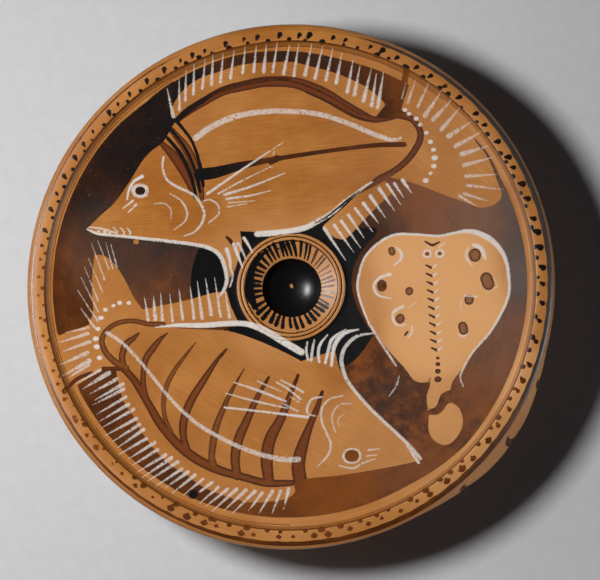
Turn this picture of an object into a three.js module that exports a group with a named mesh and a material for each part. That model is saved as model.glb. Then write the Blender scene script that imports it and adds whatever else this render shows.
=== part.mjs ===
// Fish plate: a wheel-thrown terracotta plate on a low pedestal foot.
// It has a turned-down rim and a small sauce well in the middle.
// Millimetres, +Z up. The origin is the centre of the foot's underside.
// +X is the picture's right and +Y its top, seen from above with the painted side up.
import * as THREE from "three";

// Overall
const PLATE_RADIUS = 130; // the lip at its widest
const PLATE_HEIGHT = 58; // from the table to the top of the rim
const AROUND = 90; // facets around the wheel axis

// Rim
const BAND_WIDTH = 5; // the narrow painted band on top of the rim
const BAND_CROWN = 0.25; // how much the band is domed
const LIP_WIDTH = 4; // from the band's outer edge to the lip's widest round
const LIP_DROP = 4.5; // from the rim's top down to the lip's widest round
const SKIRT_HEIGHT = 11.5; // from the lip's widest round to the skirt's lower edge
const SKIRT_LEAN = 1.6; // how far the skirt's lower edge stands inside the lip
const SKIRT_WALL = 5; // thickness of the skirt
const SKIRT_EDGE = 2.2; // height of the rounding on the skirt's lower edge

// Step from the band down to the floor
const RISER_DROP = 3.2;
const RISER_RUN = 2.4;

// Floor of the dish
const FLOOR_FALL = 11.5; // from the riser's foot to the collar
const FLOOR_SAG = 0.7; // how far the slope is hollowed below a straight line
const WALL_AT_RIM = 6.5; // thickness of the floor beside the rim
const WALL_AT_STEM = 11; // thickness of the floor where the stem takes over
const UNDER_SAG = 1.2; // how far the underside bellies below a straight line
const CORNER_FILLET = 2.5; // rounding where the underside turns down into the skirt

// Collar and sauce well
const COLLAR_RADIUS = 27.2; // outer edge of the outer ridge
const RIDGE_WIDTH = 2.1;
const RIDGE_HEIGHT = 1.1;
const FUNNEL_RUN = 8.4; // the painted slope between the inner ridge and the cup
const FUNNEL_FALL = 3.6;
const CUP_DEPTH = 11;

// Pedestal foot
const FOOT_RADIUS = 50;
const FOOT_EDGE = 7; // height of the rounded edge of the foot
const FOOT_ROUND = 1.8; // how far that edge bulges past the flat ring
const STEM_RADIUS = 37; // the stem at its waist
const RING_WIDTH = 7; // width of the flat ring the plate stands on
const RECESS_DEPTH = 16; // the hollow under the foot
const RECESS_SLOPE = 11; // how far the hollow's sides lean in
const RECESS_BOW = 0.8; // how far those sides are domed
const RECESS_DOME = 1; // rise of the hollow's ceiling to its middle
const STEM_PULL = 0.3; // the stem curve's handles, as a share of the foot's spread past the waist
const STEM_EASE = 0.1; // those handles' distance from the stem's two ends, as a share of its height

// Warp of the skirt, pulled outward on one stretch of the rim
const FLARE_AZIMUTH = THREE.MathUtils.degToRad(-37);
const FLARE_SPREAD = THREE.MathUtils.degToRad(20);
const FLARE_REACH = 6;
const FLARE_FADE = 12; // width of the ring inside the skirt over which the warp dies away

// Places that follow from the sizes above
const bandOuter = PLATE_RADIUS - LIP_WIDTH;
const bandInner = bandOuter - BAND_WIDTH;
const floorOuter = bandInner - RISER_RUN;
const floorOuterZ = PLATE_HEIGHT - RISER_DROP;
const floorInnerZ = floorOuterZ - FLOOR_FALL;
const lipZ = PLATE_HEIGHT - LIP_DROP;
const skirtOuter = PLATE_RADIUS - SKIRT_LEAN;
const skirtInner = skirtOuter - SKIRT_WALL;
const skirtBottomZ = lipZ - SKIRT_HEIGHT;
const funnelOuter = COLLAR_RADIUS - 2 * RIDGE_WIDTH;
const cupRadius = funnelOuter - FUNNEL_RUN;
const cupTopZ = floorInnerZ - FUNNEL_FALL;
const underRimZ = floorOuterZ - WALL_AT_RIM;
const underStemZ = floorInnerZ - WALL_AT_STEM;
const ringOuter = FOOT_RADIUS - FOOT_ROUND;
const ringInner = ringOuter - RING_WIDTH;

// Points of a quarter ellipse round a centre, from one angle in quarter turns to another.
function arc(centreR, centreZ, reachR, reachZ, from, to, steps) {
  return Array.from({ length: steps + 1 }, (_, i) => {
    const a = (from + ((to - from) * i) / steps) * 0.5 * Math.PI;
    return new THREE.Vector2(centreR + reachR * Math.cos(a), centreZ + reachZ * Math.sin(a));
  });
}

// Points of a straight run that sags at its middle.
function run(fromR, fromZ, toR, toZ, sag, steps) {
  return Array.from({ length: steps + 1 }, (_, i) => {
    const t = i / steps;
    const drop = sag * Math.sin(Math.PI * t);
    return new THREE.Vector2(fromR + (toR - fromR) * t, fromZ + (toZ - fromZ) * t - drop);
  });
}

// The outline is walked from the middle of the foot's recess, out under the plate, over the rim
// and into the cup. The numbers that end each arc and run are its facets.
function foot() {
  const recess = run(ringInner - RECESS_SLOPE, RECESS_DEPTH, ringInner, 0, -RECESS_BOW, 2);
  const edge = arc(ringOuter, 0.5 * FOOT_EDGE, FOOT_ROUND, 0.5 * FOOT_EDGE, -1, 1, 4);
  return [new THREE.Vector2(0, RECESS_DEPTH + RECESS_DOME), ...recess, ...edge];
}

function stem() {
  // A cavetto that is narrowest near its middle and spreads to the foot and to the dish.
  const pull = STEM_RADIUS - STEM_PULL * (FOOT_RADIUS - STEM_RADIUS);
  const ease = STEM_EASE * (underStemZ - FOOT_EDGE);
  const curve = new THREE.CubicBezierCurve(
    new THREE.Vector2(ringOuter, FOOT_EDGE),
    new THREE.Vector2(pull, FOOT_EDGE + ease),
    new THREE.Vector2(pull, underStemZ - ease),
    new THREE.Vector2(FOOT_RADIUS, underStemZ),
  );
  return curve.getPoints(7).slice(1);
}

function underside() {
  const filletR = skirtInner - CORNER_FILLET;
  const under = run(FOOT_RADIUS, underStemZ, filletR, underRimZ, UNDER_SAG, 3);
  const corner = arc(filletR, underRimZ - CORNER_FILLET, CORNER_FILLET, CORNER_FILLET, 1, 0, 2);
  return [...under.slice(1), ...corner.slice(1)];
}

function rim() {
  const half = 0.5 * SKIRT_WALL;
  const edge = arc(skirtOuter - half, skirtBottomZ + SKIRT_EDGE, half, SKIRT_EDGE, -2, 0, 4);
  const face = run(skirtOuter, skirtBottomZ + SKIRT_EDGE, PLATE_RADIUS, lipZ, 0, 2);
  const lip = arc(bandOuter, lipZ, LIP_WIDTH, LIP_DROP, 0, 1, 4);
  const band = run(bandOuter, PLATE_HEIGHT, bandInner, PLATE_HEIGHT, -BAND_CROWN, 2);
  return [...edge, ...face.slice(1), ...lip.slice(1), ...band.slice(1)];
}

function ridge(outer) {
  const half = 0.5 * RIDGE_WIDTH;
  return arc(outer - half, floorInnerZ, half, RIDGE_HEIGHT, 0, 2, 4);
}

function dish() {
  const floor = run(floorOuter, floorOuterZ, COLLAR_RADIUS, floorInnerZ, FLOOR_SAG, 4);
  const cup = arc(0, cupTopZ, cupRadius, -CUP_DEPTH, 0, 1, 6);
  const outerRidge = ridge(COLLAR_RADIUS).slice(1);
  const innerRidge = ridge(COLLAR_RADIUS - RIDGE_WIDTH).slice(1);
  return [...floor, ...outerRidge, ...innerRidge, ...cup];
}

// The rim sagged a little while the clay was wet: the skirt stands out over one stretch.
function flare(geometry) {
  const place = geometry.getAttribute("position");
  for (let i = 0; i < place.count; i++) {
    const x = place.getX(i);
    const y = place.getY(i);
    const r = Math.hypot(x, y);
    const down = THREE.MathUtils.clamp((lipZ - place.getZ(i)) / SKIRT_HEIGHT, 0, 1);
    const out = THREE.MathUtils.smoothstep(r, skirtInner - FLARE_FADE, skirtInner);
    const turn = Math.atan2(y, x) - FLARE_AZIMUTH;
    const near = Math.exp(-((Math.atan2(Math.sin(turn), Math.cos(turn)) / FLARE_SPREAD) ** 2));
    const grow = r > 0 ? 1 + (FLARE_REACH * down * out * near) / r : 1;
    place.setXY(i, x * grow, y * grow);
  }
}

function plateGeometry() {
  const outline = [...foot(), ...stem(), ...underside(), ...rim(), ...dish()];
  outline[outline.length - 1].x = 0; // the cup ends on the axis, clear of rounding
  const geometry = new THREE.LatheGeometry(outline, AROUND);
  geometry.rotateX(0.5 * Math.PI);
  flare(geometry);
  geometry.computeVertexNormals();
  return geometry;
}

const clay = new THREE.MeshStandardMaterial({
  name: "terracotta",
  color: 0xb9783f,
  roughness: 0.45,
  metalness: 0,
});
const plate = new THREE.Mesh(plateGeometry(), clay);
plate.name = "fish_plate";

const fishPlate = new THREE.Group();
fishPlate.add(plate);
export default fishPlate;
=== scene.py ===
# %% [markdown]
# # A painted fish plate
# A fish plate is a wheel-thrown terracotta dish on a low foot, with a turned-down rim and a small sauce
# well in its middle. It was made in southern Italy in the red-figure way: the figures are bare clay,
# the ground round them is a fine slip that fired dark and glossy, and details were added with thinned
# slip and with white.
#
# The clay body comes from the frame. Here it gets a finer mesh of the same form, and its paint.
# The frame is loaded first, and the script later prints the finished plate's size.

import math

import bpy
import numpy as np
from mathutils import Matrix, Vector
from mathutils.geometry import delaunay_2d_cdt


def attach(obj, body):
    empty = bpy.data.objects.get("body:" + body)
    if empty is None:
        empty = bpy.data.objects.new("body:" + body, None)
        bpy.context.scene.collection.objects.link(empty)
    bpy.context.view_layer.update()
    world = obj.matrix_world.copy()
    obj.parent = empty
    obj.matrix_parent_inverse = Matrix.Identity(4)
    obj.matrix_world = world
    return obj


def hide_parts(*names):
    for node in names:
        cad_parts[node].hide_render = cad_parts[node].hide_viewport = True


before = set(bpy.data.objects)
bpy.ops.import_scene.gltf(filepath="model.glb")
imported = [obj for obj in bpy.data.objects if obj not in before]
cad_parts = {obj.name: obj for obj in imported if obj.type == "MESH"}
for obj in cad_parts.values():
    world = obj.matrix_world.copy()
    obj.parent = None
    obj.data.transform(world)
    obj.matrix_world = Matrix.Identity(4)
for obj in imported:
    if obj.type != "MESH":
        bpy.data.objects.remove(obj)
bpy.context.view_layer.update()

# %% [markdown]
# ## Sizes of the clay body
# A potter checks a plate against a profile, a flat template of half its section, and the wheel carries
# that section round. The sizes of the section are written here in millimetres, as on the frame.

# %% Sizes in millimetres
PLATE_RADIUS = 130
PLATE_HEIGHT = 58
BAND_WIDTH = 5
BAND_CROWN = 0.25
LIP_WIDTH = 4
LIP_DROP = 4.5
SKIRT_HEIGHT = 11.5
SKIRT_LEAN = 1.6
SKIRT_WALL = 5
SKIRT_EDGE = 2.2
RISER_DROP = 3.2
RISER_RUN = 2.4
RISER_SAG = 0.25
FLOOR_FALL = 11.5
FLOOR_SAG = 0.7
WALL_AT_RIM = 6.5
WALL_AT_STEM = 11
UNDER_SAG = 1.2
CORNER_FILLET = 2.5
COLLAR_RADIUS = 27.2
RIDGE_WIDTH = 2.1
RIDGE_HEIGHT = 1.1
FUNNEL_RUN = 8.4
FUNNEL_FALL = 3.6
FUNNEL_BOW = 0.15
CUP_DEPTH = 11
FOOT_RADIUS = 50
FOOT_EDGE = 7
FOOT_ROUND = 1.8
STEM_RADIUS = 37
RING_WIDTH = 7
RECESS_DEPTH = 16
RECESS_SLOPE = 11
RECESS_BOW = 0.8
RECESS_DOME = 1
CEILING_BOW = 0.3
STEM_PULL = 0.3
STEM_EASE = 0.1
FLARE_AZIMUTH = math.radians(-37)
FLARE_SPREAD = math.radians(20)
FLARE_REACH = 6
FLARE_FADE = 12
print("plate", 2 * PLATE_RADIUS, "mm across and", PLATE_HEIGHT, "mm high")

# %% Places that follow from the sizes
band_outer = PLATE_RADIUS - LIP_WIDTH
band_inner = band_outer - BAND_WIDTH
floor_outer = band_inner - RISER_RUN
floor_outer_z = PLATE_HEIGHT - RISER_DROP
floor_inner_z = floor_outer_z - FLOOR_FALL
lip_z = PLATE_HEIGHT - LIP_DROP
skirt_outer = PLATE_RADIUS - SKIRT_LEAN
skirt_inner = skirt_outer - SKIRT_WALL
skirt_bottom_z = lip_z - SKIRT_HEIGHT
funnel_outer = COLLAR_RADIUS - 2 * RIDGE_WIDTH
cup_radius = funnel_outer - FUNNEL_RUN
cup_top_z = floor_inner_z - FUNNEL_FALL
under_rim_z = floor_outer_z - WALL_AT_RIM
under_stem_z = floor_inner_z - WALL_AT_STEM
ring_outer = FOOT_RADIUS - FOOT_ROUND
ring_inner = ring_outer - RING_WIDTH
print("band from", band_inner, "to", band_outer, "and foot ring from", ring_inner, "to", ring_outer)

# %% [markdown]
# ## The section of the plate
# Quarter ellipses and sagging runs make the whole section, as turning tools do. Two chains of points
# come out of them: one from the middle of the sauce well out to the band, seen from above, and one that
# goes on over the lip, down the skirt, under the dish and down to the foot.


# %% Arcs and runs of the section
def arc(centre_r, centre_z, reach_r, reach_z, start, end, steps):
    """Points on an ellipse round a centre, between two angles in quarter turns."""
    turns = np.linspace(start, end, steps + 1) * 0.5 * math.pi
    return np.column_stack([centre_r + reach_r * np.cos(turns), centre_z + reach_z * np.sin(turns)])


def run(from_r, from_z, to_r, to_z, sag, steps):
    """Points on a straight run that sags at its middle."""
    share = np.linspace(0, 1, steps + 1)
    drop = sag * np.sin(math.pi * share)
    return np.column_stack([from_r + (to_r - from_r) * share, from_z + (to_z - from_z) * share - drop])


def ridge(outer):
    half = 0.5 * RIDGE_WIDTH
    return arc(outer - half, floor_inner_z, half, RIDGE_HEIGHT, 2, 0, 8)


print("points of one ridge:", len(ridge(COLLAR_RADIUS)))

# %% The upper side, from the well out to the band
# small gaps between the runs leave the corners a little worn; the last number of a run is its steps
WORN = 0.2
BAND_WORN_IN = 0.25
BAND_WORN_DOWN = 0.3
above = np.vstack(
    [
        arc(0, cup_top_z, cup_radius, -CUP_DEPTH, 1, 0, 14),
        run(cup_radius + WORN, cup_top_z + WORN, funnel_outer - 0.5 * WORN, floor_inner_z, -FUNNEL_BOW, 8),
        ridge(COLLAR_RADIUS - RIDGE_WIDTH),
        ridge(COLLAR_RADIUS)[1:],
        run(COLLAR_RADIUS + WORN, floor_inner_z - 0.25 * WORN, floor_outer, floor_outer_z, FLOOR_SAG, 40)[1:],
        run(floor_outer, floor_outer_z, band_inner, PLATE_HEIGHT - BAND_WORN_DOWN, RISER_SAG, 5)[1:],
        run(band_inner + BAND_WORN_IN, PLATE_HEIGHT, band_outer, PLATE_HEIGHT, -BAND_CROWN, 6),
    ]
)
above[0, 0] = 0
print("upper side:", len(above), "rings")

# %% The lip, skirt, underside and foot
stem_pull = STEM_RADIUS - STEM_PULL * (FOOT_RADIUS - STEM_RADIUS)
stem_ease = STEM_EASE * (under_stem_z - FOOT_EDGE)
fillet_r = skirt_inner - CORNER_FILLET
half_wall = 0.5 * SKIRT_WALL
half_edge = 0.5 * FOOT_EDGE
skirt_edge_z = skirt_bottom_z + SKIRT_EDGE
stem_handles = np.array(
    [
        (FOOT_RADIUS, under_stem_z),
        (stem_pull, under_stem_z - stem_ease),
        (stem_pull, FOOT_EDGE + stem_ease),
        (ring_outer, FOOT_EDGE),
    ]
)
share = np.linspace(0, 1, 13)[:, None]
stem_weights = ((1 - share) ** 3, 3 * share * (1 - share) ** 2, 3 * share**2 * (1 - share), share**3)
stem = sum(weight * handle for weight, handle in zip(stem_weights, stem_handles))
below = np.vstack(
    [
        arc(band_outer, lip_z, LIP_WIDTH, LIP_DROP, 1, 0, 9),
        run(PLATE_RADIUS, lip_z, skirt_outer, skirt_edge_z, 0, 9)[1:],
        arc(skirt_outer - half_wall, skirt_edge_z, half_wall, SKIRT_EDGE, 0, -2, 6)[1:],
        arc(fillet_r, under_rim_z - CORNER_FILLET, CORNER_FILLET, CORNER_FILLET, 0, 1, 4),
        run(fillet_r, under_rim_z, FOOT_RADIUS, under_stem_z, UNDER_SAG, 12)[1:],
        stem[1:],
        arc(ring_outer, half_edge, FOOT_ROUND, half_edge, 1, -1, 7)[1:],
        run(ring_inner, 0, ring_inner - RECESS_SLOPE, RECESS_DEPTH, -RECESS_BOW, 5),
        run(ring_inner - RECESS_SLOPE, RECESS_DEPTH, 0, RECESS_DEPTH + RECESS_DOME, -CEILING_BOW, 4)[1:],
    ]
)
print("lip to foot:", len(below), "rings")

# %% [markdown]
# ## Drawing with a brush
# The painter worked freehand with brushes of different width. Paint could be put on a 3-D piece as a
# picture, but a picture blurs close up and this plate needs none: each area is an outline through a few
# places, and each stroke is a line with a width at each place. All are in millimetres from the plate's
# middle, with x to the right and y up, and a smooth curve is bent through them. A place given twice is
# a corner.


# %% A smooth curve through places
def bend(places, closed, step):
    """Bends a smooth curve through the places and returns points about one step apart."""
    places = [np.array(place, float) for place in places]
    count = len(places) if closed else len(places) - 1
    drawn = []
    for i in range(count):
        here, there = places[i], places[(i + 1) % len(places)]
        length = math.dist(here[:2], there[:2])
        if length == 0:
            continue
        before = places[i - 1] if closed or i > 0 else here
        after = places[(i + 2) % len(places)] if closed or i + 2 < len(places) else there
        lead_in = (there - before) * length / (length + math.dist(here[:2], before[:2]))
        lead_out = (after - here) * length / (length + math.dist(there[:2], after[:2]))
        if math.dist(here[:2], before[:2]) == 0:
            lead_in = there - here
        if math.dist(there[:2], after[:2]) == 0:
            lead_out = there - here
        pieces = max(1, round(length / step))
        for t in np.arange(pieces) / pieces:
            drawn.append(
                here * (2 * t**3 - 3 * t**2 + 1)
                + there * (3 * t**2 - 2 * t**3)
                + lead_in * (t**3 - 2 * t**2 + t)
                + lead_out * (t**3 - t**2)
            )
    if not closed:
        drawn.append(places[-1])
    return np.array(drawn)


print("a square bent smooth has", len(bend([(0, 0), (9, 0), (9, 9), (0, 9)], True, 1)), "points")

# %% Paints, areas and strokes
PAINTS = ("reserve", "dark", "coat", "wash", "white", "pupil")
RESERVE, DARK, COAT, WASH, WHITE, PUPIL = PAINTS
AREA_STEP = 1.1
STROKE_STEP = 1.3
areas = []
strokes = []


def fill(paint, places, grain=None):
    """An area of one paint. Its grain is the direction of the burnishing, in degrees."""
    areas.append((paint, bend(places, True, AREA_STEP), grain))


def brush(paint, load, places):
    """A stroke through (x, y, width) places. Its load, from 0 to 1, says how well the paint covers."""
    strokes.append((paint, load, bend(places, False, STROKE_STEP)))


def brush_all(paint, loads_and_places):
    """Strokes of one paint, each with its own load."""
    for load, places in loads_and_places:
        brush(paint, load, places)


print("paints:", PAINTS)

# %% Rings, dots and flicked strokes
FLICK_ROOT = 0.82
FLICK_MIDDLE = 0.72
FLICK_TIP = 0.35


def ring(paint, load, x, y, radius, width):
    """A thin round stroke that meets itself."""
    turns = np.linspace(0, 2 * math.pi, 9)
    brush(paint, load, [(x + radius * math.cos(turn), y + radius * math.sin(turn), width) for turn in turns])


def tapered_row(paint, load, row):
    """Short strokes that start round and thick and are flicked out to a point."""
    for x, y, tip_x, tip_y, width in row:
        width = FLICK_ROOT * width
        middle = (0.55 * x + 0.45 * tip_x, 0.55 * y + 0.45 * tip_y, FLICK_MIDDLE * width)
        brush(paint, load, [(x, y, width), middle, (tip_x, tip_y, FLICK_TIP)])


def dot(paint, load, x, y, radius):
    """A short fat stroke, a little wider than it is high."""
    brush(paint, load, [(x - 0.2 * radius, y, 1.8 * radius), (x + 0.2 * radius, y, 1.8 * radius)])


def dots(paint, load, row):
    """A row of dots of one load, as (x, y, radius)."""
    for x, y, radius in row:
        dot(paint, load, x, y, radius)


def tally(piece):
    """Says how much has been painted once a piece is done."""
    print(piece, "done:", len(areas), "areas and", len(strokes), "strokes so far")


tally("brush tools")

# %% [markdown]
# ## The upper fish
# A striped bream type of fish seen from its side: body, back fin, tail and belly fin are four areas left
# in bare clay. Its back, its side line and the bands behind the head are laid in dark slip, and the
# white details come last: mouth, eye, gill, fin rays and the pale line along the belly.

# %% Upper fish: the areas left bare
fill(RESERVE, [
    (-100.5, 29), (-100.5, 29), (-94.5, 35), (-87.5, 41.5), (-80, 52), (-73.5, 62.5), (-69, 67.5),
    (-65.5, 70), (-65.5, 70), (-62.5, 73), (-59, 79), (-56.5, 83), (-56.5, 83), (-47.5, 89.5),
    (-33.5, 96.5), (-12, 101.5), (1.5, 101), (18, 94.5), (34, 85), (47, 82.5), (56, 83.5), (62, 79.5),
    (64.5, 73.5), (61.5, 66), (53.5, 58), (46.5, 54), (40.5, 51), (40.5, 51), (31.5, 45.5), (27.5, 43),
    (21, 37), (14, 33), (7, 29.5), (-3.5, 27.5), (-16.5, 27.5), (-25.5, 28), (-25.5, 28), (-24.5, 22),
    (-26, 15), (-28, 9), (-30.5, 4.5), (-30.5, 4.5), (-32.5, 10.5), (-35.5, 16.5), (-40.5, 19.5),
    (-49.5, 21.5), (-62, 23), (-76.5, 24.5), (-87.5, 25.5), (-96, 26),
], grain=4)
fill(RESERVE, [
    (-58, 83.5), (-58, 83.5), (-58.5, 89), (-56.5, 93), (-52, 98.5), (-44.5, 103.5), (-35.5, 106.5),
    (-23.5, 110), (-11, 111), (1.5, 111), (9.5, 109), (22, 105.5), (34.5, 100), (42.5, 94.5), (47.5, 89.5),
    (47.5, 89.5), (42.5, 83.5), (42.5, 83.5), (34, 86), (18, 95.5), (1.5, 102), (-12, 102.5), (-33.5, 97),
    (-50, 88),
], grain=2)
fill(RESERVE, [
    (60.5, 109.5), (60.5, 109.5), (59, 98.5), (56, 90.5), (53.5, 87), (53.5, 87), (60, 82), (64.5, 75.5),
    (62, 66.5), (55.5, 59), (49.5, 53.5), (49.5, 53.5), (57.5, 51.5), (66, 48.5), (76.5, 44), (87, 40),
    (93.5, 37.5), (99, 38), (103.5, 41), (104.5, 45.5), (103, 50.5), (100, 57), (96, 64.5), (91.5, 70),
    (91.5, 70), (97, 73.5), (97, 73.5), (88, 86), (77.5, 97), (67, 105.5),
], grain=-40)
fill(RESERVE, [
    (15.5, 30), (15.5, 30), (20, 25.5), (24, 23.5), (27.5, 24), (34, 30.5), (40.5, 37), (47.5, 43.5),
    (51, 46), (51, 46), (47, 52), (47, 52), (40, 48.5), (33.5, 45.5), (27, 40),
], grain=40)
tally("upper fish, bare clay")

# %% Upper fish: dark lines and brown wash
# back, root of the tail and side line
brush_all(WASH, [
    (1, [
        (-56.5, 82.5, 2.5), (-50.5, 87, 3.2), (-43.5, 91.5, 3.9), (-33.5, 97, 4.4), (-23.5, 99.5, 4.9),
        (-12, 101.5, 5.1), (1.5, 101, 5.4), (9.5, 98.5, 5.9), (18, 94.5, 6.2), (26, 89.5, 5.8),
        (34, 85, 5.2), (42.5, 82, 3), (49.5, 83.5, 3.9), (53.5, 85, 4.9),
    ]),
    (1, [
        (52, 85, 4.4), (60, 82, 3.1), (64, 77, 3.1), (64.5, 72.5, 3.3), (62, 67, 3.4), (56.5, 60.5, 3.2),
        (49.5, 55.5, 3.2), (44.5, 53, 3.7), (40, 50.5, 2),
    ]),
])
brush_all(DARK, [
    (1, [
        (-45, 56, 6.2), (-37.5, 57, 5.7), (-24, 60.5, 3.8), (-7.5, 63.5, 2.5), (9.5, 66, 2.2),
        (26, 68, 2.1), (42.5, 69.5, 2.3), (56.5, 69.5, 2.6),
    ]),
    (1, [(58, 106.5, 3), (57, 101, 3.2), (55.5, 94, 3.4), (52.5, 87, 5.4)]),
    (1, [
        (-57, 82.5, 2.2), (-51, 87.5, 3), (-43.5, 92.5, 2.6), (-34, 98, 1.8), (-24, 101, 1.2),
        (-12, 103.3, 0.8), (0, 102.8, 0.7),
    ]),
    (1, [(8, 96, 0.6), (17, 92, 1), (26, 87.2, 1.2), (33, 83.5, 1), (41, 81.3, 0.6)]),
    # bands behind the head
    (1, [(-61, 74, 1.8), (-54.5, 66, 2.1), (-49.5, 55, 2), (-46.5, 43.5, 1.3)]),
    (1, [(-59, 78, 1.5), (-52, 68.5, 1.5), (-47, 56.5, 1.6), (-45, 47.5, 1.5)]),
    (1, [(-56, 82, 1.8), (-49, 72.5, 1.5), (-45, 60.5, 1.8), (-43.5, 50.5, 1.6)]),
])
brush_all(WASH, [
    (0.95, [(-64, 71.5, 2.6), (-57.5, 64.5, 4.8), (-51.5, 54.5, 4.2), (-47.5, 44.5, 1.8)]),
    (0.8, [(-59, 78, 3), (-51, 67.5, 4.6), (-46, 54.5, 4.2), (-44, 44, 2.2)]),
])
brush_all(DARK, [
    # root of the belly fin
    (1, [(-32, 25, 1.3), (-30, 23, 1.9), (-28.5, 20.5, 1.5)]),
    # slip that ran past the tail's outer edge
    (1, [(91.5, 71, 0.6), (98, 62.5, 1), (103.5, 50, 2.2), (106.5, 43, 3)]),
])
# a spot left bare under the jaw and a blot on the side line
ring(RESERVE, 1, -76.7, 22.5, 0.6, 1.6)
brush(DARK, 1, [(-10, 61.6, 2), (-6.8, 63.8, 3.4)])
brush_all(WHITE, [
    (0.8, [(-8.6, 66, 0.8), (-8.2, 67.4, 0.5)]),
    (0.8, [(-10.5, 59.6, 0.8), (-9.2, 59.2, 0.6)]),
])
tally("upper fish, dark lines and wash")

# %% Upper fish: head in white
brush_all(WHITE, [
    # brow and cheek
    (0.95, [(-81, 43.5, 0.9), (-80, 48.5, 1.2), (-77.5, 52.5, 1.4), (-73.5, 55, 1.9)]),
    (0.95, [(-83, 39, 0.7), (-78, 43, 1.1)]),
    (0.95, [(-80.5, 37, 0.7), (-76.5, 41, 1.1)]),
    # gill and its folds
    (0.75, [
        (-63, 64.5, 1.2), (-63.5, 60, 1.2), (-61.5, 53.5, 1.3), (-56.5, 50, 1.4), (-48.5, 46, 1.4),
        (-44.5, 41, 1.5), (-43, 36.5, 1.5), (-44.5, 31.5, 1.4), (-48, 27.5, 1.1), (-53, 25.5, 0.7),
    ]),
    (0.65, [(-60, 46.5, 0.6), (-54.5, 43, 1.1), (-51.5, 37.5, 1.2), (-52.5, 33, 1), (-58, 28.5, 0.6)]),
    (0.55, [(-67.5, 41.5, 0.6), (-62.5, 41.5, 0.8), (-59.5, 38.5, 0.8), (-59.5, 34, 0.5)]),
    (0.65, [(-43.5, 43, 0.6), (-40, 43.5, 1), (-36, 40.5, 1.1), (-36, 36.5, 1.1), (-41, 32, 0.7)]),
    # mouth and the line under the jaw
    (0.9, [
        (-100.5, 28.5, 1), (-96, 26.5, 1.5), (-87.5, 25.5, 1.4), (-76.5, 24.5, 1.6), (-62, 23, 1.8),
        (-49.5, 21.5, 1.9), (-40.5, 19.5, 2.1), (-35.5, 16, 2.2), (-33, 10, 2.1), (-32, 3.5, 2),
        (-33.5, -1.5, 1.6), (-36, -5, 0.8),
    ]),
    (0.9, [(-99.5, 29.5, 0.8), (-94.5, 29, 1), (-88.5, 27.5, 0.9), (-86, 26.5, 0.7)]),
])
dots(WHITE, 0.9, [(-95, 27.5, 0.8), (-92, 27.3, 0.9), (-89.5, 26.8, 0.8)])
for x in (-88, -84.5, -81.5):
    brush(WHITE, 0.75, [(x, 29.5, 0.6), (x + 2, 27.5, 1.1), (x + 1.5, 24.8, 1)])
# eye: a white ring with a dark pupil
dot(WHITE, 0.98, -74.6, 47.8, 4.1)
dot(PUPIL, 1, -74.6, 47.8, 2.3)
tally("upper fish, head")

# %% Upper fish: belly and side fin in white
# pale line along the side and the belly
brush_all(WHITE, [
    (0.62, [
        (-47, 74, 3.2), (-40, 79, 3.2), (-27.5, 84.5, 3), (-11, 87, 2.7), (5.5, 86.5, 2.6),
        (17.5, 84.5, 2.6), (30, 80, 2.5), (42.5, 74.5, 2.5), (50.5, 72, 2.2), (54.5, 72.5, 1.3),
        (55.5, 73.5, 0.7),
    ]),
    (0.97, [
        (-17, 26.5, 3), (-3.5, 27.5, 3.1), (7, 29.5, 2.8), (14, 33, 2.6), (21, 37, 2.4), (27, 42.5, 2),
    ]),
    (0.85, [(28.5, 43.5, 1.8), (31.5, 45.5, 1.7), (37, 49.5, 1.3), (40.5, 51.5, 0.8)]),
])
# its middle is slip again, where it nears the tail
brush(PUPIL, 1, [(12, 31.5, 0.3), (18, 35, 0.7), (24, 39.5, 0.9), (29, 43.5, 0.8), (34, 47, 0.4)])
brush_all(WHITE, [
    # side fin
    (0.85, [(-41.5, 46.5, 1.5), (-24, 58.5, 1.2), (-4, 71.5, 0.6)]),
    (0.7, [(-36, 46.5, 1.1), (-24, 53, 0.9), (-11.5, 59, 0.5)]),
    (0.8, [(-33, 46, 1.5), (-20, 50, 1.2), (-3, 56.5, 0.6)]),
    (0.8, [(-32, 44, 1.4), (-20.5, 45.5, 1), (-10, 48, 0.5)]),
    (0.65, [(-31, 42, 0.8), (-18, 43, 0.5)]),
    (0.65, [(-31.5, 40, 0.7), (-22, 41.5, 0.5)]),
    # throat fin
    (0.85, [
        (-32, 19, 2.2), (-30.5, 14, 1.8), (-30, 9, 1.1), (-29, 6.5, 1.1), (-29.5, 3, 0.9), (-30.5, 0, 0.8),
    ]),
    (0.95, [(-28.5, 21.5, 2), (-26.5, 16, 1.7), (-24, 9.5, 0.6)]),
    (0.7, [(-26.5, 22, 1.8), (-24.5, 18.5, 1.5), (-22.5, 14, 0.6)]),
    (0.95, [(-23.5, 24.5, 1.8), (-21.5, 21.5, 1.5), (-19, 17, 0.6)]),
])
tally("upper fish, side fin and belly")

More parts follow.
